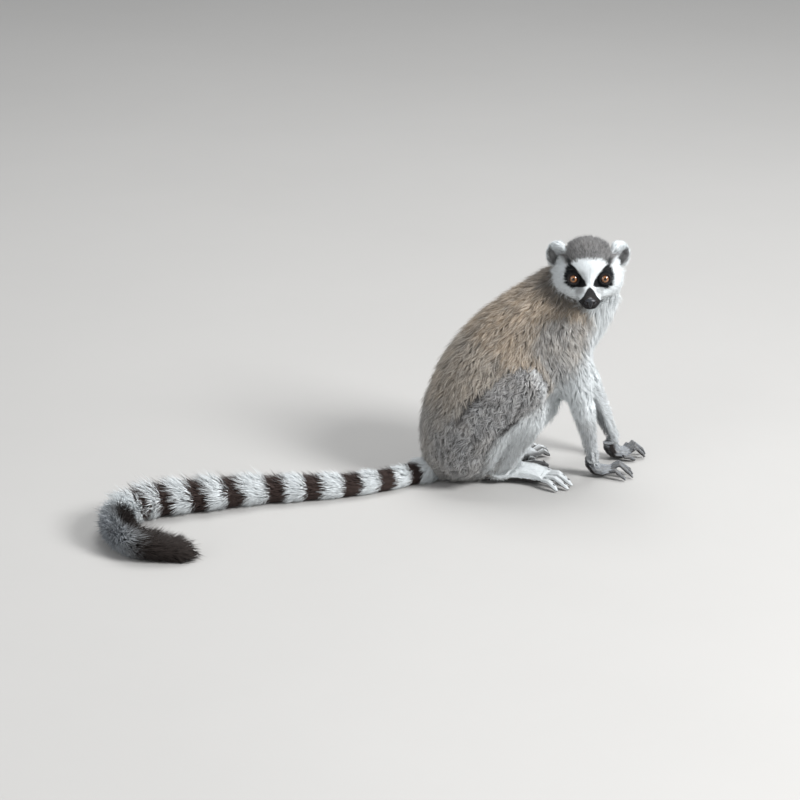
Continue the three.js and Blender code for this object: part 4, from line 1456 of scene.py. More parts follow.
@dataclass
class Coat:
    """The whole coat, grown on the skin piece by piece."""

    skin: Skin
    tuft: Tuft = Tuft()
    stray_share: float = 0.17  # of the tufts are thin and stand out of the rest
    stray_height: float = 0.38  # what they add to their height
    stray_width: float = 0.55
    softness: float = 0.62  # how far the shading follows the skin under the hair
    clump_size: int = 11  # tufts that draw together
    clump_reach: Pair = (3.0, 11.0)  # distance from the leader over which that ends
    clump_spread: float = 0.2  # how far clumps differ in length
    length_spread: float = 0.2
    clump_turn: float = 1.7  # how far the clumps turn off the coat's lie, times the curl
    own_turn: float = 0.9
    bend: float = 2.2  # how far a tuft turns on its way, next to its turn at the root
    bend_from: float = 0.35  # share of its way where it runs with the coat's lie
    steepest: float = 0.9  # largest height, as a share of the length
    lowest: float = 0.35
    drop: Pair = (0.7, 1.0)  # range of the tips' heights, as shares of the coat's depth

    def piece(self, number: int, plan: CoatPiece) -> Object:
        """Grows one piece of the coat.

        Args:
            number: The piece's number, which seeds its chances.
            plan: What the piece is.

        Returns:
            The piece, with its marks, strands and UV map.
        """
        skin, chance = self.skin, np.random.default_rng([SEED, number])
        count = plan.tufts // 1
        corners, shares = self.roots(skin.region(plan.region), count, chance)
        roots, normals, lie, growth, marks = (
            (values[corners] * shares[..., None]).sum(1)
            for values in (skin.points, skin.normals, skin.lie, skin.growth, skin.marks)
        )
        normals, lie = unit(normals), unit(lie)
        widen = math.sqrt(plan.tufts / count) ** 0.8
        clumps, clump = self.clumps(roots, chance)
        kind = skin.kind[corners[:, 0]]
        paths, spread = self.paths(roots, normals, lie, growth, (clumps, clump), kind, chance)
        widths = growth[:, WIDTH, None] * widen * spread[:, None] * np.array(self.tuft.widths)
        ups = unit(normals + 0.25 * chance.standard_normal((count, 3)))
        made = spikes(plan.name, paths, widths, ups, self.tuft.thick)
        soften(made.data, np.repeat(normals, len(made.data.vertices) // count, 0), self.softness)
        rings = len(self.tuft.runs)
        per_ring = np.r_[np.repeat(np.arange(rings - 1), CORNERS), rings - 1]
        along = np.tile(np.array(self.tuft.runs)[per_ring], (count, 1))
        own = np.broadcast_to(chance.random(count)[:, None], along.shape)
        shared = np.broadcast_to(chance.random(count)[clumps[clump]][:, None], along.shape)
        set_vectors(made.data, "marks", np.repeat(marks, along.shape[1], 0))
        set_vectors(made.data, "strand", np.stack([along, own, shared], -1))
        place = self.charted(plan.chart, roots, corners[:, 0])
        self.map_patches(made.data, place, along)
        return made

    def roots(self, own: Values, count: int, chance: Chance) -> tuple[Values, Values]:
        """Picks where tufts grow, evenly but for chance.

        Args:
            own: Which vertices belong to the piece.
            count: How many roots are wanted.
            chance: Source of chances.

        Returns:
            The three vertices round each root, and its share of each.
        """
        skin = self.skin
        triangles = skin.triangles[own[skin.triangles[:, 0]]]
        a, b, c = (skin.points[triangles[:, k]] for k in range(3))
        area = np.linalg.norm(np.cross(b - a, c - a), axis=1) / 2
        spacing = skin.growth[triangles][..., SPACING].mean(1)
        dense = np.cumsum(area / spacing**2 * skin.hairy[triangles].mean(1))
        at = (np.arange(count) + chance.random(count)) / count * dense[-1]
        picked = np.minimum(np.searchsorted(dense, at), len(dense) - 1)
        step = np.arange(count)[:, None] * np.array(EVEN_STEPS) + chance.random(2)
        first, second = np.modf(step)[0].T
        over = first + second > 1
        first, second = np.where(over, 1 - first, first), np.where(over, 1 - second, second)
        return triangles[picked], np.stack([1 - first - second, first, second], 1)

    def clumps(self, roots: Points, chance: Chance) -> tuple[Values, Values]:
        """Numbers of the tufts that lead a clump, and for each tuft the leader nearest to it."""
        leaders = np.sort(chance.choice(len(roots), max(len(roots) // self.clump_size, 1), replace=False))
        tree = KDTree(len(leaders))
        for i, at in enumerate(roots[leaders]):
            tree.insert(at, i)
        tree.balance()
        return leaders, np.array([tree.find(at)[1] for at in roots.tolist()])

    def paths(
        self,
        roots: Points,
        normals: Points,
        lie: Points,
        growth: Values,
        clumping: tuple[Values, Values],
        kind: Values,
        chance: Chance,
    ) -> tuple[Points, Values]:
        """Where each tuft runs.

        Args:
            roots: Where the tufts grow.
            normals: The skin's normals there.
            lie: The way that the coat lies there.
            growth: Pelage's values there.
            clumping: The leading tufts, and the leader of each.
            kind: Kind of part that each grows on.
            chance: Source of chances.

        Returns:
            The rings' middles for each tuft, and each tuft's size next to the mean.
        """
        count = len(roots)
        leaders, leader = clumping
        depth, length, _, _, curl, draw, sunk = growth.T
        spread = 1 + self.length_spread * (2 * chance.random(count) - 1)
        shared = (chance.random(len(leaders)) - 0.5)[leader]
        length = length * spread * (1 + self.clump_spread * shared)
        low, high = self.drop
        stray = chance.random(count) < self.stray_share
        height = depth * (low + (high - low) * chance.random(count) + self.stray_height * stray)
        height = np.minimum(height, self.steepest * length)
        run = np.sqrt(length**2 - height**2)
        turn = self.clump_turn * (chance.random(len(leaders)) - 0.5)[leader]
        turn = curl * (turn + self.own_turn * (chance.random(count) - 0.5))
        across = np.cross(normals, lie)
        places = []
        for share, rise_share in zip(self.tuft.runs, self.tuft.heights):
            angle = (turn * self.bend * (share - self.bend_from))[:, None]
            ahead = lie * np.cos(angle) + across * np.sin(angle)
            places.append(roots + (share * run)[:, None] * ahead + (rise_share * height)[:, None] * normals)
        tips = places[-1]
        near = fade(np.linalg.norm(roots - roots[leaders[leader]], axis=1), *self.clump_reach)
        pull = (draw * near * (1 - 0.6 * stray))[:, None]
        wanted = tips + pull * (tips[leaders[leader]] - tips)
        height = height + pull[:, 0] * (height[leaders[leader]] - height)
        shift = self.settled(wanted, height - sunk, depth, kind) - tips
        paths = np.stack([p + share**1.3 * shift for p, share in zip(places, self.tuft.runs)], 1)
        paths[:, 0] -= ROOT_DEPTH * normals
        paths[:, 1:, 2] = np.maximum(paths[:, 1:, 2], self.lowest + 0.3 * chance.random(count)[:, None])
        return paths, spread * np.where(stray, self.stray_width, 1.0)

    def settled(self, tips: Points, heights: Values, depths: Values, kind: Values) -> Points:
        """Moves the tips to their heights: up to the outline, or over the skin on head and tail.

        Args:
            tips: Where the tufts end.
            heights: How far over the skin each should end.
            depths: Depth of the coat at each.
            kind: Kind of part that each grows on.

        Returns:
            The moved tips.
        """
        skin = self.skin
        made = tips.copy()
        names = np.array(list(PELAGE))[kind]
        trees = {name: (flesh.outline, flesh.closing) for kinds, flesh in skin.outlines for name in kinds}
        for i, tip in enumerate(tips.tolist()):
            tree, closing = trees.get(names[i], (skin.tree, None))
            at, normal, _, _ = tree.find_nearest(tip)
            wanted = heights[i] if closing is None else heights[i] - depths[i] - closing
            made[i] += np.array(normal) * (wanted - (Vector(tip) - at).dot(normal))
        return made

    def charted(self, chart: Chart, roots: Points, corner: Values) -> Values:
        """Place of each root in the piece's UV map.

        Args:
            chart: How the map is laid out.
            roots: Where the tufts grow.
            corner: For each, a vertex of the skin next to it.

        Returns:
            Places from 0 to 1 across and up.
        """
        skin = self.skin
        if chart is Chart.TAIL:
            number = skin.on_tail[corner]
            offset = roots - skin.tail.centres[number]
            side = (offset * np.cross(skin.tail.tangents[number], UP)).sum(1)
            up = offset[:, 2] - skin.tail.core_height(skin.tail.along[number])
            return np.stack([angle_share(side, up), share_of(skin.tail.along[number])], 1)
        if chart is Chart.ROUND:
            offset = roots - (roots.min(0) + roots.max(0)) / 2
            flat = np.hypot(offset[:, 0], offset[:, 1])
            return np.stack([angle_share(offset[:, 0], offset[:, 1]), angle_share(-offset[:, 2], flat, 1)], 1)
        place = np.zeros((len(roots), 2))
        for side in SIDES.values():
            own = skin.side[corner] == side
            if not own.any():
                continue
            offset = roots[own] - roots[own].mean(0)
            axis = np.linalg.eigh(offset.T @ offset)[1]
            angle = angle_share(offset @ axis[:, 0], offset @ axis[:, 1])
            half = 0.5 * (side > 0)
            place[own] = np.stack([half + 0.005 + 0.49 * angle, share_of(offset @ axis[:, 2])], 1)
        return place

    def map_patches(self, mesh: Mesh, place: Values, along: Values) -> None:
        """Writes the UV map, in which each tuft is a small patch at its root's place."""
        across = np.r_[np.tile([0.5, 0.0, -0.5], (along.shape[1] - 1) // CORNERS), 0.0]
        place = PATCH + (1 - 2 * PATCH) * place
        u = place[:, :1] + PATCH * across
        v = place[:, 1:] + PATCH * (along - 0.5)
        chart = np.stack([u.ravel(), v.ravel()], 1)
        corners = values_of(mesh.loops, "vertex_index", 1, np.int32)[:, 0]
        layer = mesh.uv_layers.new(name="OFBake")
        layer.uv.foreach_set("vector", chart[corners].astype(np.float32).ravel())


def soften(mesh: Mesh, forms: Points, share: float) -> None:
    """Turns the shading of thin pieces toward that of the surface they stand on.

    Args:
        mesh: The pieces, made of triangles.
        forms: That surface's normal for each vertex.
        share: How far the shading is turned on the faces that look out.
    """
    corners = values_of(mesh.loops, "vertex_index", 1, np.int32)[:, 0]
    own = values_of(mesh.corner_normals, "vector", 3)
    faces = np.repeat(values_of(mesh.polygon_normals, "vector", 3), CORNERS, 0)
    made = unit((1 - share) * own + share * forms[corners])
    inward = (made * faces).sum(1) < 0.2
    made[inward] = unit(own + faces)[inward]
    mesh.normals_split_custom_set(made)


def angle_share(first: Values, second: Values, turns: int = 2) -> Values:
    """Angle of each pair of sides as a share of one turn, or of a half turn where turns is 1."""
    angle = np.arctan2(second, first) / math.pi
    return (angle + 1) / 2 if turns == 2 else np.clip(angle, 0, 1)


def share_of(values: Values) -> Values:
    """Values spread from 0 at the lowest to 1 at the highest."""
    return (values - values.min()) / max(np.ptp(values), 1e-9)


COAT = (
    CoatPiece("coat_fore", ("neck", "chest"), Chart.ROUND, 19500, "back_coat"),
    CoatPiece("coat_hind", ("belly", "hindquarters"), Chart.ROUND, 19500, "grey_coat"),
    CoatPiece("coat_thighs", ("thigh",), Chart.PAIR, 19500, "grey_coat"),
    CoatPiece("coat_arms", ("upper_arm", "forearm"), Chart.PAIR, 15500, "arm_coat"),
    CoatPiece("coat_shanks", ("shank",), Chart.PAIR, 9000, "pale_coat"),
    CoatPiece("coat_feet", ("foot", "toe"), Chart.PAIR, 5500, "pale_coat"),
    CoatPiece("coat_hands", ("hand", "finger"), Chart.PAIR, 4500, "hand_coat"),
    CoatPiece("coat_face", ("face",), Chart.ROUND, 8500, "face_coat"),
    CoatPiece("coat_head", ("ruff",), Chart.ROUND, 15500, "face_coat"),
    CoatPiece("coat_ears", ("ears",), Chart.PAIR, 5000, "white_coat"),
    CoatPiece("coat_rings", ("rings",), Chart.TAIL, 19500, "ringed_coat"),
    CoatPiece("coat_plume", ("plume",), Chart.TAIL, 8500, "plume"),
)


# ---------------------------------------------------------------- eyes, nose, nails, whiskers


@dataclass
class Eyeball:
    """One eyeball with its clear bulge in front. Sizes in millimetres and radians."""

    eye: Eye
    bulge: float = 0.55
    bulge_reach: float = 0.5
    rings: int = 48
    sides: int = 64

    def build(self, name: str, head: Head) -> Object:
        """Makes the eyeball as a closed mesh that knows where its gaze points.

        Args:
            name: The piece's name.
            head: The head that it sits in.

        Returns:
            The piece, with its own coordinates as the attribute "gaze".
        """
        down = np.linspace(0, math.pi, self.rings + 2)[1:-1]
        round_gaze = np.linspace(0, 2 * math.pi, self.sides, endpoint=False)
        out = self.eye.radius + self.bulge * np.exp(-((down / self.bulge_reach) ** 2))
        ahead = np.repeat(out * np.cos(down), self.sides)
        wide = np.repeat(out * np.sin(down), self.sides)
        turn = np.tile(round_gaze, self.rings)
        own = np.stack([ahead, wide * np.cos(turn), wide * np.sin(turn)], 1)
        placed = head.world(own @ self.eye.turn().T + np.array(self.eye.centre))
        made = make_object(name, placed, tube_faces(self.rings, self.sides))
        close_ends(made)
        set_vectors(made.data, "gaze", own / self.eye.radius)
        return made


@dataclass
class Nose:
    """The bare nose with its comma-shaped nostrils, in the head's frame."""

    centre: Triple = (61.5, 0.0, -20.6)
    radii: Triple = (5.6, 6.6, 5.0)
    cell: float = 0.42

    def field(self, points: Points) -> Values:
        """Distance to the nose."""
        ball = ellipsoid(points, self.centre, self.radii)
        bridge = ellipsoid(points, (57.0, 0, -17.2), (5.5, 4.2, 3.0))
        pad = ellipsoid(points, (62.5, 0, -25.2), (3.6, 2.2, 3.4))
        wings = both_sides(points, (62.0, 5.0, -21.6), (3.8, 2.5, 2.9))
        made = blend(1.5, blend(2.0, ball, bridge, pad), *wings)
        holes = both_sides(points, (67.0, 3.7, -21.8), (3.6, 1.45, 1.5))
        slits = both_sides(points, (64.4, 6.4, -20.6), (2.8, 2.2, 0.6))
        for hole, slit in zip(holes, slits):
            made = hollowed(made, blend(0.8, hole, slit), 0.6)
        return hollowed(made, ellipsoid(points, (67.4, 0, -25.4), (2.6, 0.5, 4.4)), 0.5)

    def build(self, name: str, head: Head) -> Object:
        """Makes the nose as a closed mesh."""
        points, quads = surface_net(self.field, (46, -11, -29), (70, 11, -7), self.cell)
        return make_object(name, head.world(points), quads)


@dataclass
class Nails:
    """The nails of all the fingers and toes, each lying on the top of its digit's tip."""

    nodes: Nodes
    skin: Skin
    size: Triple = (4.4, 2.5, 1.0)  # length, width and thickness of a finger's nail
    toe_scale: float = 1.2
    back: float = 2.2  # from the digit's tip to the nail's middle
    tilt: float = 0.28
    taper: float = 0.35  # what its width loses to the end
    bow: Pair = (0.55, 0.9)  # along and across, as shares of half the thickness

    def build(self, name: str) -> Object:
        """Makes the nails in one mesh.

        Args:
            name: The piece's name.

        Returns:
            The piece.
        """
        work = bmesh.new()
        for node in self.nodes.names:
            if kind_of(node) not in ("finger", "toe"):
                continue
            side = node.rpartition("_")[2]
            base = "hand" if kind_of(node) == "finger" else "foot"
            ahead = self.nodes.centre[node] - self.nodes.centre[f"{base}_{side}"]
            self.add_nail(work, node, unit(ahead * (1, 1, 0)), self.toe_scale if base == "foot" else 1.0)
        mesh = bpy.data.meshes.new(name)
        work.to_mesh(mesh)
        work.free()
        mesh.polygons.foreach_set("use_smooth", np.full(len(mesh.polygons), True))
        return linked(name, mesh)

    def add_nail(self, work: bmesh.types.BMesh, node: str, ahead: Points, scale: float) -> None:
        """Adds one nail: a bowed plate that narrows to its end.

        Args:
            work: The mesh that it goes to.
            node: The digit's node.
            ahead: The digit's level direction.
            scale: Size next to a finger's nail.
        """
        own = points_of(self.nodes.frame["nodes"][node].data)
        tip = own[(own @ ahead) > (own @ ahead).max() - 1.5].mean(0) - self.back * scale * ahead
        at, normal, _, _ = self.skin.tree.find_nearest(tip + 12 * UP)
        up = unit(np.array(normal) + 0.4 * UP)
        ahead = unit(ahead - (ahead @ up) * up - self.tilt * up)
        side = np.cross(up, ahead)
        frame = np.eye(4)
        frame[:3, :3] = np.stack([ahead, side, np.cross(ahead, side)], 1)
        frame[:3, 3] = (np.array(at) + 0.1 * up) * MM
        made = bmesh.ops.create_icosphere(work, subdivisions=3, radius=1.0)["verts"]
        length, width, thick = (n * scale * MM / 2 for n in self.size)
        for vertex in made:
            x, y, z = vertex.co
            narrow = 1 - self.taper * max(x, 0.0)
            bow = -self.bow[0] * thick * x * x - self.bow[1] * thick * y * y
            vertex.co = Vector((x * length, y * width * narrow, z * thick * 0.6 + bow))
            vertex.co = Matrix(frame.tolist()) @ vertex.co


@dataclass
class Whiskers:
    """Whiskers of the lips and brows, in the head's frame."""

    width: float = 0.26
    thick: float = 0.86  # thickness as a share of the width
    sag: Triple = (-0.14, 0.0, -0.12)  # of the tip, as shares of the length
    rings: int = 7
    rows: tuple[tuple[float, float, float, float, int], ...] = (
        # place of a row's middle (x, y, z), longest length, and how many stand on each side
        (53.0, 9.5, -20.5, 21.0, 4),
        (51.0, 10.5, -23.5, 23.0, 4),
        (48.0, 10.5, -26.0, 18.0, 3),
        (30.0, 19.0, 9.0, 11.0, 2),
    )

    def build(self, name: str, head: Head, skin: Skin) -> Object:
        """Makes the whiskers in one mesh, each rooted in the skin.

        Args:
            name: The piece's name.
            head: The head that they stand on.
            skin: Its skin.

        Returns:
            The piece.
        """
        chance = np.random.default_rng([SEED, WHISKER_SEED])
        share = np.linspace(0, 1, self.rings)
        paths = []
        for side in SIDES.values():
            for x, y, z, length, count in self.rows:
                for k in range(count):
                    root = np.array([x - 2.6 * k, (y + 0.7 * k) * side, z]) + 0.4 * chance.standard_normal(3)
                    rooted = head.local(np.array(skin.tree.find_nearest(head.world(root))[0])[None])[0]
                    ahead = unit(np.array([0.35 - 0.2 * k, side, 0.25 - 0.3 * chance.random()]))
                    reach = length * (0.7 + 0.3 * chance.random())
                    sag = np.array(self.sag) * reach
                    paths.append(rooted + np.outer(share * reach, ahead) + np.outer(share**2, sag))
        paths = head.world(np.array(paths).reshape(-1, 3)).reshape(-1, self.rings, 3)
        widths = np.tile(self.width * (1 - 0.75 * share), (len(paths), 1))
        ups = np.tile(UP, (len(paths), 1))
        return spikes(name, paths, widths, ups, self.thick)


# ---------------------------------------------------------------- materials


class Graph:
    """A node tree, with short ways to add nodes and to join them."""

    def __init__(self, tree: NodeTree) -> None:
        """Takes the tree that the nodes go to."""
        self.tree = tree

    def add(self, kind: str, inputs: dict | None = None, **settings: object) -> Node:
        """Adds a node.

        Args:
            kind: The node's type.
            inputs: Values or sockets for its inputs, by name or number.
            **settings: Its own settings.

        Returns:
            The node.
        """
        node = self.tree.nodes.new(kind)
        for name, value in settings.items():
            setattr(node, name, value)
        self.feed(node, inputs or {})
        return node

    def feed(self, node: Node, inputs: dict) -> None:
        """Gives a node's inputs their values, or joins the sockets that are given for them."""
        for name, value in inputs.items():
            if isinstance(value, NodeSocket):
                self.tree.links.new(value, node.inputs[name])
            else:
                node.inputs[name].default_value = value

    def math(self, operation: str, first: object, second: object = 0.0, clamp: bool = False) -> NodeSocket:
        """Result of a sum on two values or sockets."""
        node = self.add("ShaderNodeMath", {0: first, 1: second}, operation=operation, use_clamp=clamp)
        return node.outputs[0]

    def swing(self, share: object, amount: object) -> NodeSocket:
        """A share's distance from one half, times an amount."""
        return self.math("MULTIPLY", self.math("SUBTRACT", share, 0.5), amount)

    def mix(self, factor: object, first: object, second: object) -> NodeSocket:
        """Mix of two colours."""
        inputs = {0: factor, 6: rgba(first), 7: rgba(second)}
        return self.add("ShaderNodeMix", inputs, data_type="RGBA").outputs[2]

    def step(self, value: object, start: object, end: object) -> NodeSocket:
        """Smooth step from 0 at start to 1 at end."""
        inputs = {"Value": value, "From Min": start, "From Max": end}
        return self.add("ShaderNodeMapRange", inputs, interpolation_type="SMOOTHSTEP").outputs[0]

    def spread(self, value: object, low: float, high: float) -> NodeSocket:
        """A value from 0 to 1 laid out from low to high."""
        return self.add("ShaderNodeMapRange", {"Value": value, "To Min": low, "To Max": high}).outputs[0]

    def scaled(self, colour: NodeSocket, factor: object) -> NodeSocket:
        """A colour made darker or brighter."""
        return self.add("ShaderNodeVectorMath", {0: colour, "Scale": factor}, operation="SCALE").outputs[0]

    def parts(self, name: str) -> list[NodeSocket]:
        """The three parts of a mesh attribute."""
        read = self.add("ShaderNodeAttribute", attribute_name=name)
        return list(self.add("ShaderNodeSeparateXYZ", {0: read.outputs["Vector"]}).outputs)

    def noise(self, scale: float, detail: float = 2.0, roughness: float = 0.5) -> NodeSocket:
        """Noise over the object's own coordinates, a scale of 1000 having cells of a millimetre."""
        at = self.add("ShaderNodeTexCoord").outputs["Object"]
        inputs = {"Vector": at, "Scale": scale, "Detail": detail, "Roughness": roughness}
        return self.add("ShaderNodeTexNoise", inputs).outputs[0]


def rgba(value: object) -> object:
    """A colour with its fourth part, or a number or a socket as it is."""
    return (*value, 1.0) if isinstance(value, tuple) else value


def node_group(name: str, inputs: dict[str, object], outputs: dict[str, str]) -> tuple[Graph, dict, Node]:
    """Starts a shader node group.

    Args:
        name: The group's name.
        inputs: First values of its inputs: a number or a colour.
        outputs: Socket types of its outputs.

    Returns:
        The group's graph, the sockets of its inputs by name, and the node that takes its outputs.
    """
    tree = bpy.data.node_groups.new(name, "ShaderNodeTree")
    for label, value in inputs.items():
        kind = "NodeSocketFloat" if isinstance(value, float) else "NodeSocketColor"
        socket = tree.interface.new_socket(label, in_out="INPUT", socket_type=kind)
        socket.default_value = rgba(value)
    for label, kind in outputs.items():
        tree.interface.new_socket(label, in_out="OUTPUT", socket_type=kind)
    graph = Graph(tree)
    taken = graph.add("NodeGroupInput").outputs
    return graph, {label: taken[label] for label in inputs}, graph.add("NodeGroupOutput")


PATCH_TONE = 0.7  # how far broad patches of the coat differ in brightness
PATCH_WARMTH = 0.5
CLUMP_TONE = 0.45  # how far clumps do
CLUMP_SHADE = 0.12
LIT_FROM = 0.55  # share of a tuft's length at which the shade of its root ends
WHITE_LIT = 0.75  # how much less of that shade white hair has
HAIR_ROUGHNESS = (0.62, 0.85)


@cache
def coat_shade() -> NodeTree:
    """The one group that colours hair by the coat's marks, its place along a tuft and chance."""
    inputs = {
        "Coat": (0.3, 0.3, 0.3),
        "Warm": (0.3, 0.25, 0.2),
        "White": (0.8, 0.8, 0.8),
        "Dark": (0.02, 0.02, 0.02),
        "Root Shade": 0.5,
        "Fleck": 0.5,
        "Edge": 0.3,
    }
    outputs = {"Colour": "NodeSocketColor", "Roughness": "NodeSocketFloat"}
    graph, taken, given = node_group("CoatShade", inputs, outputs)
    white, dark, warm = graph.parts("marks")
    along, own, shared = graph.parts("strand")
    stray = graph.swing(own, taken["Edge"])
    patch = graph.spread(graph.noise(45.0, 3.0), -0.5, 0.5)
    warm = graph.math("ADD", warm, graph.math("MULTIPLY", patch, PATCH_WARMTH), clamp=True)
    colour = graph.mix(warm, taken["Coat"], taken["Warm"])
    fleck = graph.swing(own, taken["Fleck"])
    clumped = graph.swing(shared, CLUMP_TONE)
    tone = graph.math("ADD", graph.math("ADD", fleck, clumped), graph.math("MULTIPLY", patch, PATCH_TONE))
    colour = graph.scaled(colour, graph.math("ADD", tone, 1.0))
    white = graph.math("ADD", white, stray, clamp=True)
    colour = graph.mix(white, colour, taken["White"])
    dark = graph.step(graph.math("ADD", dark, graph.math("MULTIPLY", stray, 0.8)), 0.12, 0.88)
    colour = graph.mix(dark, colour, taken["Dark"])
    lit = graph.step(along, 0.0, LIT_FROM)
    open_to_light = graph.math("SUBTRACT", 1.0, graph.math("MULTIPLY", white, WHITE_LIT))
    depth = graph.math("MULTIPLY", taken["Root Shade"], open_to_light)
    shade = graph.math("SUBTRACT", 1.0, graph.math("MULTIPLY", graph.math("SUBTRACT", 1.0, lit), depth))
    soft = graph.math("ADD", 1.0, graph.swing(shared, CLUMP_SHADE))
    colour = graph.scaled(colour, graph.math("MULTIPLY", shade, soft))
    graph.feed(given, {"Colour": colour, "Roughness": graph.spread(own, *HAIR_ROUGHNESS)})
    return graph.tree


@cache
def skin_grain() -> NodeTree:
    """The one group that gives the height of short flat hair and of pores."""
    graph, taken, given = node_group("SkinGrain", {"Scale": 900.0}, {"Height": "NodeSocketFloat"})
    at = graph.add("ShaderNodeTexCoord").outputs["Object"]
    fine = graph.add("ShaderNodeTexNoise", {"Vector": at, "Scale": taken["Scale"], "Detail": 3.0})
    cells = graph.add("ShaderNodeTexVoronoi", {"Vector": at, "Scale": taken["Scale"]}, feature="SMOOTH_F1")
    both = graph.math("ADD", fine.outputs[0], graph.math("MULTIPLY", cells.outputs["Distance"], 0.6))
    graph.feed(given, {"Height": both})
    return graph.tree


def new_material(name: str) -> tuple[Material, Graph, Node]:
    """A material, the graph to build on, and its shader."""
    material = bpy.data.materials.new(name)
    material.use_nodes = True
    return material, Graph(material.node_tree), material.node_tree.nodes["Principled BSDF"]


def place_group(graph: Graph, group: NodeTree, values: dict[str, object]) -> Node:
    """Places a node group with its own values."""
    inputs = {name: rgba(value) for name, value in values.items()}
    return graph.add("ShaderNodeGroup", inputs, node_tree=group)


def grain_normal(graph: Graph, scale: float, strength: float, distance: float) -> NodeSocket:
    """Normals with the grain of skin, its depth given in metres."""
    grain = place_group(graph, skin_grain(), {"Scale": scale})
    inputs = {"Height": grain.outputs[0], "Strength": strength, "Distance": distance}
    return graph.add("ShaderNodeBump", inputs).outputs[0]


@dataclass(frozen=True)
class HairFinish:
    """Colours and feel of a coat's hair."""

    name: str
    coat: Colour
    warm: Colour
    white: Colour = linear(224, 229, 231)
    dark: Colour = linear(34, 29, 28)
    root_shade: float = 0.4
    fleck: float = 0.8
    edge: float = 0.35
    sheen: float = 0.12
    grain: float = 0.0  # strength of the bump that stands for short flat hair

    def material(self) -> Material:
        """Builds the material."""
        material, graph, shader = new_material(self.name)
        values = {
            "Coat": self.coat,
            "Warm": self.warm,
            "White": self.white,
            "Dark": self.dark,
            "Root Shade": self.root_shade,
            "Fleck": self.fleck,
            "Edge": self.edge,
        }
        shade = place_group(graph, coat_shade(), values)
        inputs = {
            "Base Color": shade.outputs["Colour"],
            "Roughness": shade.outputs["Roughness"],
            "Specular IOR Level": 0.22,
            "Sheen Weight": self.sheen,
            "Sheen Roughness": 0.5,
        }
        graph.feed(shader, inputs)
        if self.grain:
            graph.feed(shader, {"Normal": grain_normal(graph, 1400.0, self.grain, 0.5 * MM)})
        return material


@dataclass(frozen=True)
class LeatherFinish:
    """Bare dark skin or horn: pebbled, and moist or dull."""

    name: str
    colour: Colour
    paler: Colour
    roughness: Pair = (0.32, 0.5)
    scale: float = 1500.0
    bump: float = 0.5
    coat: float = 0.3

    def material(self) -> Material:
        """Builds the material."""
        material, graph, shader = new_material(self.name)
        patch = graph.noise(260.0, 4.0, 0.6)
        colour = graph.mix(graph.step(patch, 0.35, 0.75), self.colour, self.paler)
        inputs = {
            "Base Color": colour,
            "Roughness": graph.spread(patch, *self.roughness),
            "Coat Weight": self.coat,
            "Coat Roughness": 0.25,
            "Normal": grain_normal(graph, self.scale, self.bump, 0.3 * MM),
        }
        graph.feed(shader, inputs)
        return material


@dataclass(frozen=True)
class EyeFinish:
    """Amber iris round a dark pupil, under a wet clear front. Radii are shares of the eyeball's."""

    name: str
    iris: Colour
    iris_inner: Colour
    rim: Colour
    white: Colour
    black: Colour = (0.002, 0.002, 0.002)
    pupil: float = 0.25
    pupil_edge: float = 0.03
    edge: float = 0.62

    def material(self) -> Material:
        """Builds the material."""
        material, graph, shader = new_material(self.name)
        x, y, z = graph.parts("gaze")
        square = graph.math("ADD", graph.math("MULTIPLY", y, y), graph.math("MULTIPLY", z, z))
        out = graph.math("SQRT", square)
        angle = graph.math("ARCTAN2", y, z)
        spokes_at = graph.add("ShaderNodeCombineXYZ", {0: graph.math("MULTIPLY", angle, 9.0), 1: out})
        inputs = {"Vector": spokes_at.outputs[0], "Scale": 2.6, "Detail": 4.0, "Roughness": 0.7}
        spokes = graph.add("ShaderNodeTexNoise", inputs).outputs[0]
        colour = graph.mix(graph.step(out, self.pupil, self.edge), self.iris_inner, self.iris)
        colour = graph.scaled(colour, graph.spread(spokes, 0.55, 1.35))
        colour = graph.mix(graph.step(out, self.edge * 0.82, self.edge), colour, self.rim)
        outside = graph.step(out, self.edge, self.edge * 1.18)
        colour = graph.mix(outside, colour, self.white)
        in_front = graph.step(x, 0.0, 0.1)
        past_pupil = graph.step(out, self.pupil - self.pupil_edge, self.pupil + self.pupil_edge)
        colour = graph.mix(past_pupil, self.black, colour)
        inputs = {
            "Base Color": graph.mix(in_front, self.white, colour),
            "Roughness": graph.spread(outside, 0.12, 0.3),
            "Coat Weight": 1.0,
            "Coat Roughness": 0.02,
            "Coat IOR": 1.45,
        }
        graph.feed(shader, inputs)
        return material


@dataclass(frozen=True)
class FloorFinish:
    """Pale smooth floor with a faint unevenness."""

    name: str
    colour: Colour
    darker: Colour

    def material(self) -> Material:
        """Builds the material."""
        material, graph, shader = new_material(self.name)
        patch = graph.noise(1.4, 5.0, 0.6)
        inputs = {
            "Base Color": graph.mix(patch, self.colour, self.darker),
            "Roughness": graph.spread(patch, 0.62, 0.78),
            "Specular IOR Level": 0.2,
        }
        graph.feed(shader, inputs)
        return material


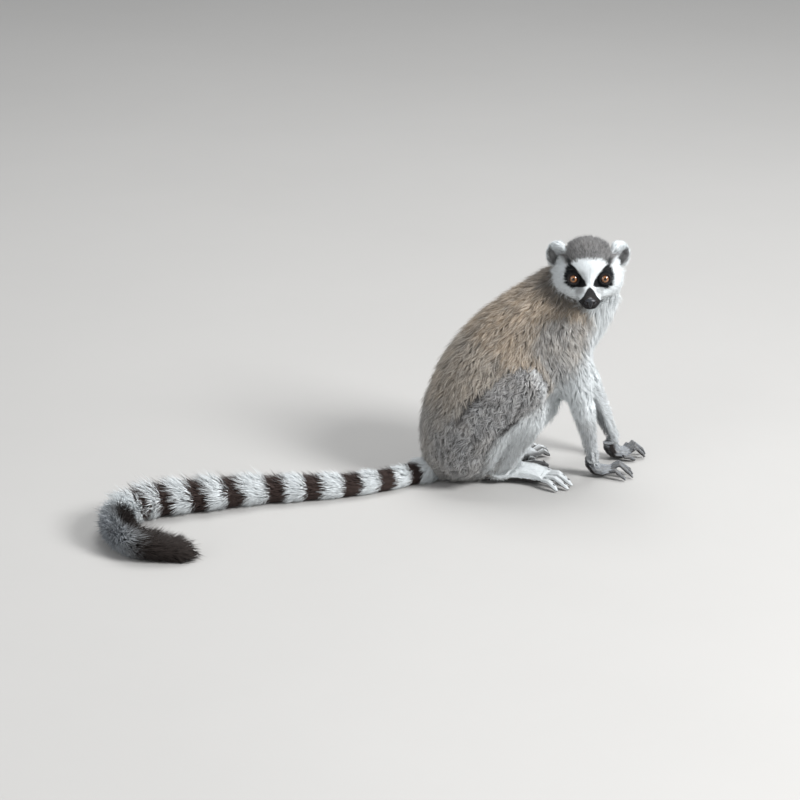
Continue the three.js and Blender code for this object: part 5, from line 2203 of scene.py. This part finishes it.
FINISHES = {
    "back_coat": HairFinish("back hair", linear(140, 136, 130), linear(166, 148, 126)),
    "grey_coat": HairFinish(
        "grey hair", linear(138, 137, 137), linear(160, 146, 128), root_shade=0.6, fleck=1.2
    ),
    "arm_coat": HairFinish("arm hair", linear(142, 144, 147), linear(158, 146, 132), fleck=0.7),
    "pale_coat": HairFinish(
        "pale hair", linear(140, 140, 140), linear(160, 150, 136), root_shade=0.3, fleck=0.5
    ),
    "hand_coat": HairFinish("hand hair", linear(112, 118, 128), linear(130, 128, 126), root_shade=0.3),
    "white_coat": HairFinish("white hair", linear(120, 120, 120), linear(140, 134, 126), root_shade=0.25),
    "face_coat": HairFinish(
        "face hair", linear(108, 108, 109), linear(118, 110, 102),
        dark=linear(13, 17, 21), fleck=1.2, edge=0.3, sheen=0.05,
    ),
    "ringed_coat": HairFinish(
        "ring hair", linear(124, 120, 116), linear(146, 133, 118),
        dark=linear(60, 48, 44), root_shade=0.2, fleck=0.5,
    ),
    "plume": HairFinish(
        "plume hair", linear(116, 122, 132), linear(110, 104, 98), dark=linear(38, 31, 28)
    ),
}
SKIN_FINISH = HairFinish("skin", linear(104, 102, 100), linear(116, 106, 96), root_shade=0.5, grain=0.5)
NOSE_LEATHER = LeatherFinish("nose leather", linear(18, 21, 26), linear(36, 40, 47))
NAIL_HORN = LeatherFinish("nail horn", linear(26, 24, 25), linear(48, 44, 44), scale=500.0, bump=0.15)
WHISKER_HORN = LeatherFinish("whisker horn", linear(24, 22, 22), linear(50, 46, 44), bump=0.0, coat=0.0)
EYE_GLASS = EyeFinish(
    "eye glass", linear(98, 60, 36), linear(140, 92, 50), rim=linear(30, 17, 12), white=linear(26, 19, 18)
)
FLOOR = FloorFinish("floor", linear(184, 183, 181), linear(176, 175, 173))


# ---------------------------------------------------------------- studio


@dataclass(frozen=True)
class Lamp:
    """A soft square lamp that faces the animal. Its place is given in the camera's directions."""

    name: str
    right: float
    back: float
    up: float
    size: float
    power: float


@dataclass
class Studio:
    """Floor, soft light and camera. Lengths in metres."""

    turn: float = 9.0  # degrees that the camera stands off the animal's side
    height: float = 20.0  # degrees that it looks down
    distance: float = 4.2
    shift: Pair = (-0.0775, 0.0975)  # of the view's middle from the animal's frame
    lens: float = 151.2
    floor_size: float = 24.0
    world: Colour = (0.80, 0.82, 0.85)
    world_strength: float = 0.42
    lamps: tuple[Lamp, ...] = (
        Lamp("key", 2.5, 1.6, 2.2, 1.2, 180.0),
        Lamp("fill", -2.2, 2.2, 1.4, 2.0, 26.0),
        Lamp("top", 0.2, -0.9, 2.8, 1.8, 52.0),
    )

    def directions(self) -> tuple[Vector, Vector, Vector]:
        """The camera's right, up and ahead."""
        t, h = math.radians(self.turn), math.radians(self.height)
        right = Vector((math.cos(t), -math.sin(t), 0))
        ahead = Vector((math.cos(h) * math.sin(t), math.cos(h) * math.cos(t), -math.sin(h)))
        return right, right.cross(ahead), ahead

    def build(self) -> None:
        """Makes the floor, the lamps, the world and the camera."""
        right, up, ahead = self.directions()
        self.lay_floor()
        level = Vector((ahead.x, ahead.y, 0)).normalized()
        for lamp in self.lamps:
            data = bpy.data.lights.new(lamp.name, "AREA")
            data.shape, data.size, data.energy = "SQUARE", lamp.size, lamp.power
            made = linked(lamp.name, data)
            made.location = lamp.right * right - lamp.back * level + Vector((0, 0, lamp.up))
            aim = Vector((-0.05, 0, 0.12)) - made.location
            made.rotation_euler = aim.to_track_quat("-Z", "Y").to_euler()
        world = bpy.data.worlds.new("studio")
        world.use_nodes = True
        shade = world.node_tree.nodes["Background"]
        shade.inputs["Color"].default_value = (*self.world, 1.0)
        shade.inputs["Strength"].default_value = self.world_strength
        bpy.context.scene.world = world
        self.set_camera(right, up, ahead)

    def lay_floor(self) -> None:
        """Lays the pale floor."""
        half = self.floor_size / 2 / MM
        corners = np.array([(-half, -half, 0), (half, -half, 0), (half, half, 0), (-half, half, 0)], float)
        floor = make_object("floor", corners, np.array([[0, 1, 2, 3]]), smooth=False)
        floor.data.materials.append(FLOOR.material())

    def set_camera(self, right: Vector, up: Vector, ahead: Vector) -> None:
        """Stands the camera at its place."""
        data = bpy.data.cameras.new("camera")
        data.lens, data.sensor_width = self.lens, 36.0
        data.clip_start, data.clip_end = 0.1, 60.0
        made = linked("camera", data)
        place = self.shift[0] * right + self.shift[1] * up - self.distance * ahead
        turn = Matrix((right, up, -ahead)).transposed().to_4x4()
        made.matrix_world = Matrix.Translation(place) @ turn
        bpy.context.scene.camera = made


# ---------------------------------------------------------------- build


def dress(piece: Object, material: Material) -> None:
    """Gives a piece its material and slot, and lets it ride on the body."""
    piece.data.materials.clear()
    piece.data.materials.append(material)
    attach(piece, BODY)
    log.info("%s: %d faces", piece.name, len(piece.data.polygons))


def main() -> None:
    """Builds the animal and the studio, in order."""
    logging.basicConfig(level=logging.INFO, format="%(message)s")
    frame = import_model()
    nodes, head, tail = Nodes(frame), Head(), Tail()
    skin = Skin(nodes, head, tail)
    dress(skin.made, SKIN_FINISH.material())
    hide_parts(*(name for name in nodes.names if name != "nose"))
    materials = {slot: finish.material() for slot, finish in FINISHES.items()}
    coat = Coat(skin)
    for number, plan in enumerate(COAT):
        dress(coat.piece(number, plan), materials[plan.slot])
    glass = EYE_GLASS.material()
    for side, eye in zip(SIDES, head.eyes):
        ball = Eyeball(eye).build(f"eyeball_{side}", head)
        dress(ball, glass)
        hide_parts(f"eye_{side}")
    nose = Nose().build("nose_leather", head)
    dress(nose, NOSE_LEATHER.material())
    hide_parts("nose")
    dress(Nails(nodes, skin).build("nails"), NAIL_HORN.material())
    dress(Whiskers().build("whiskers", head, skin), WHISKER_HORN.material())
    Studio().build()
    bpy.context.scene.view_settings.view_transform = "Standard"


if __name__ == "__main__":
    main()
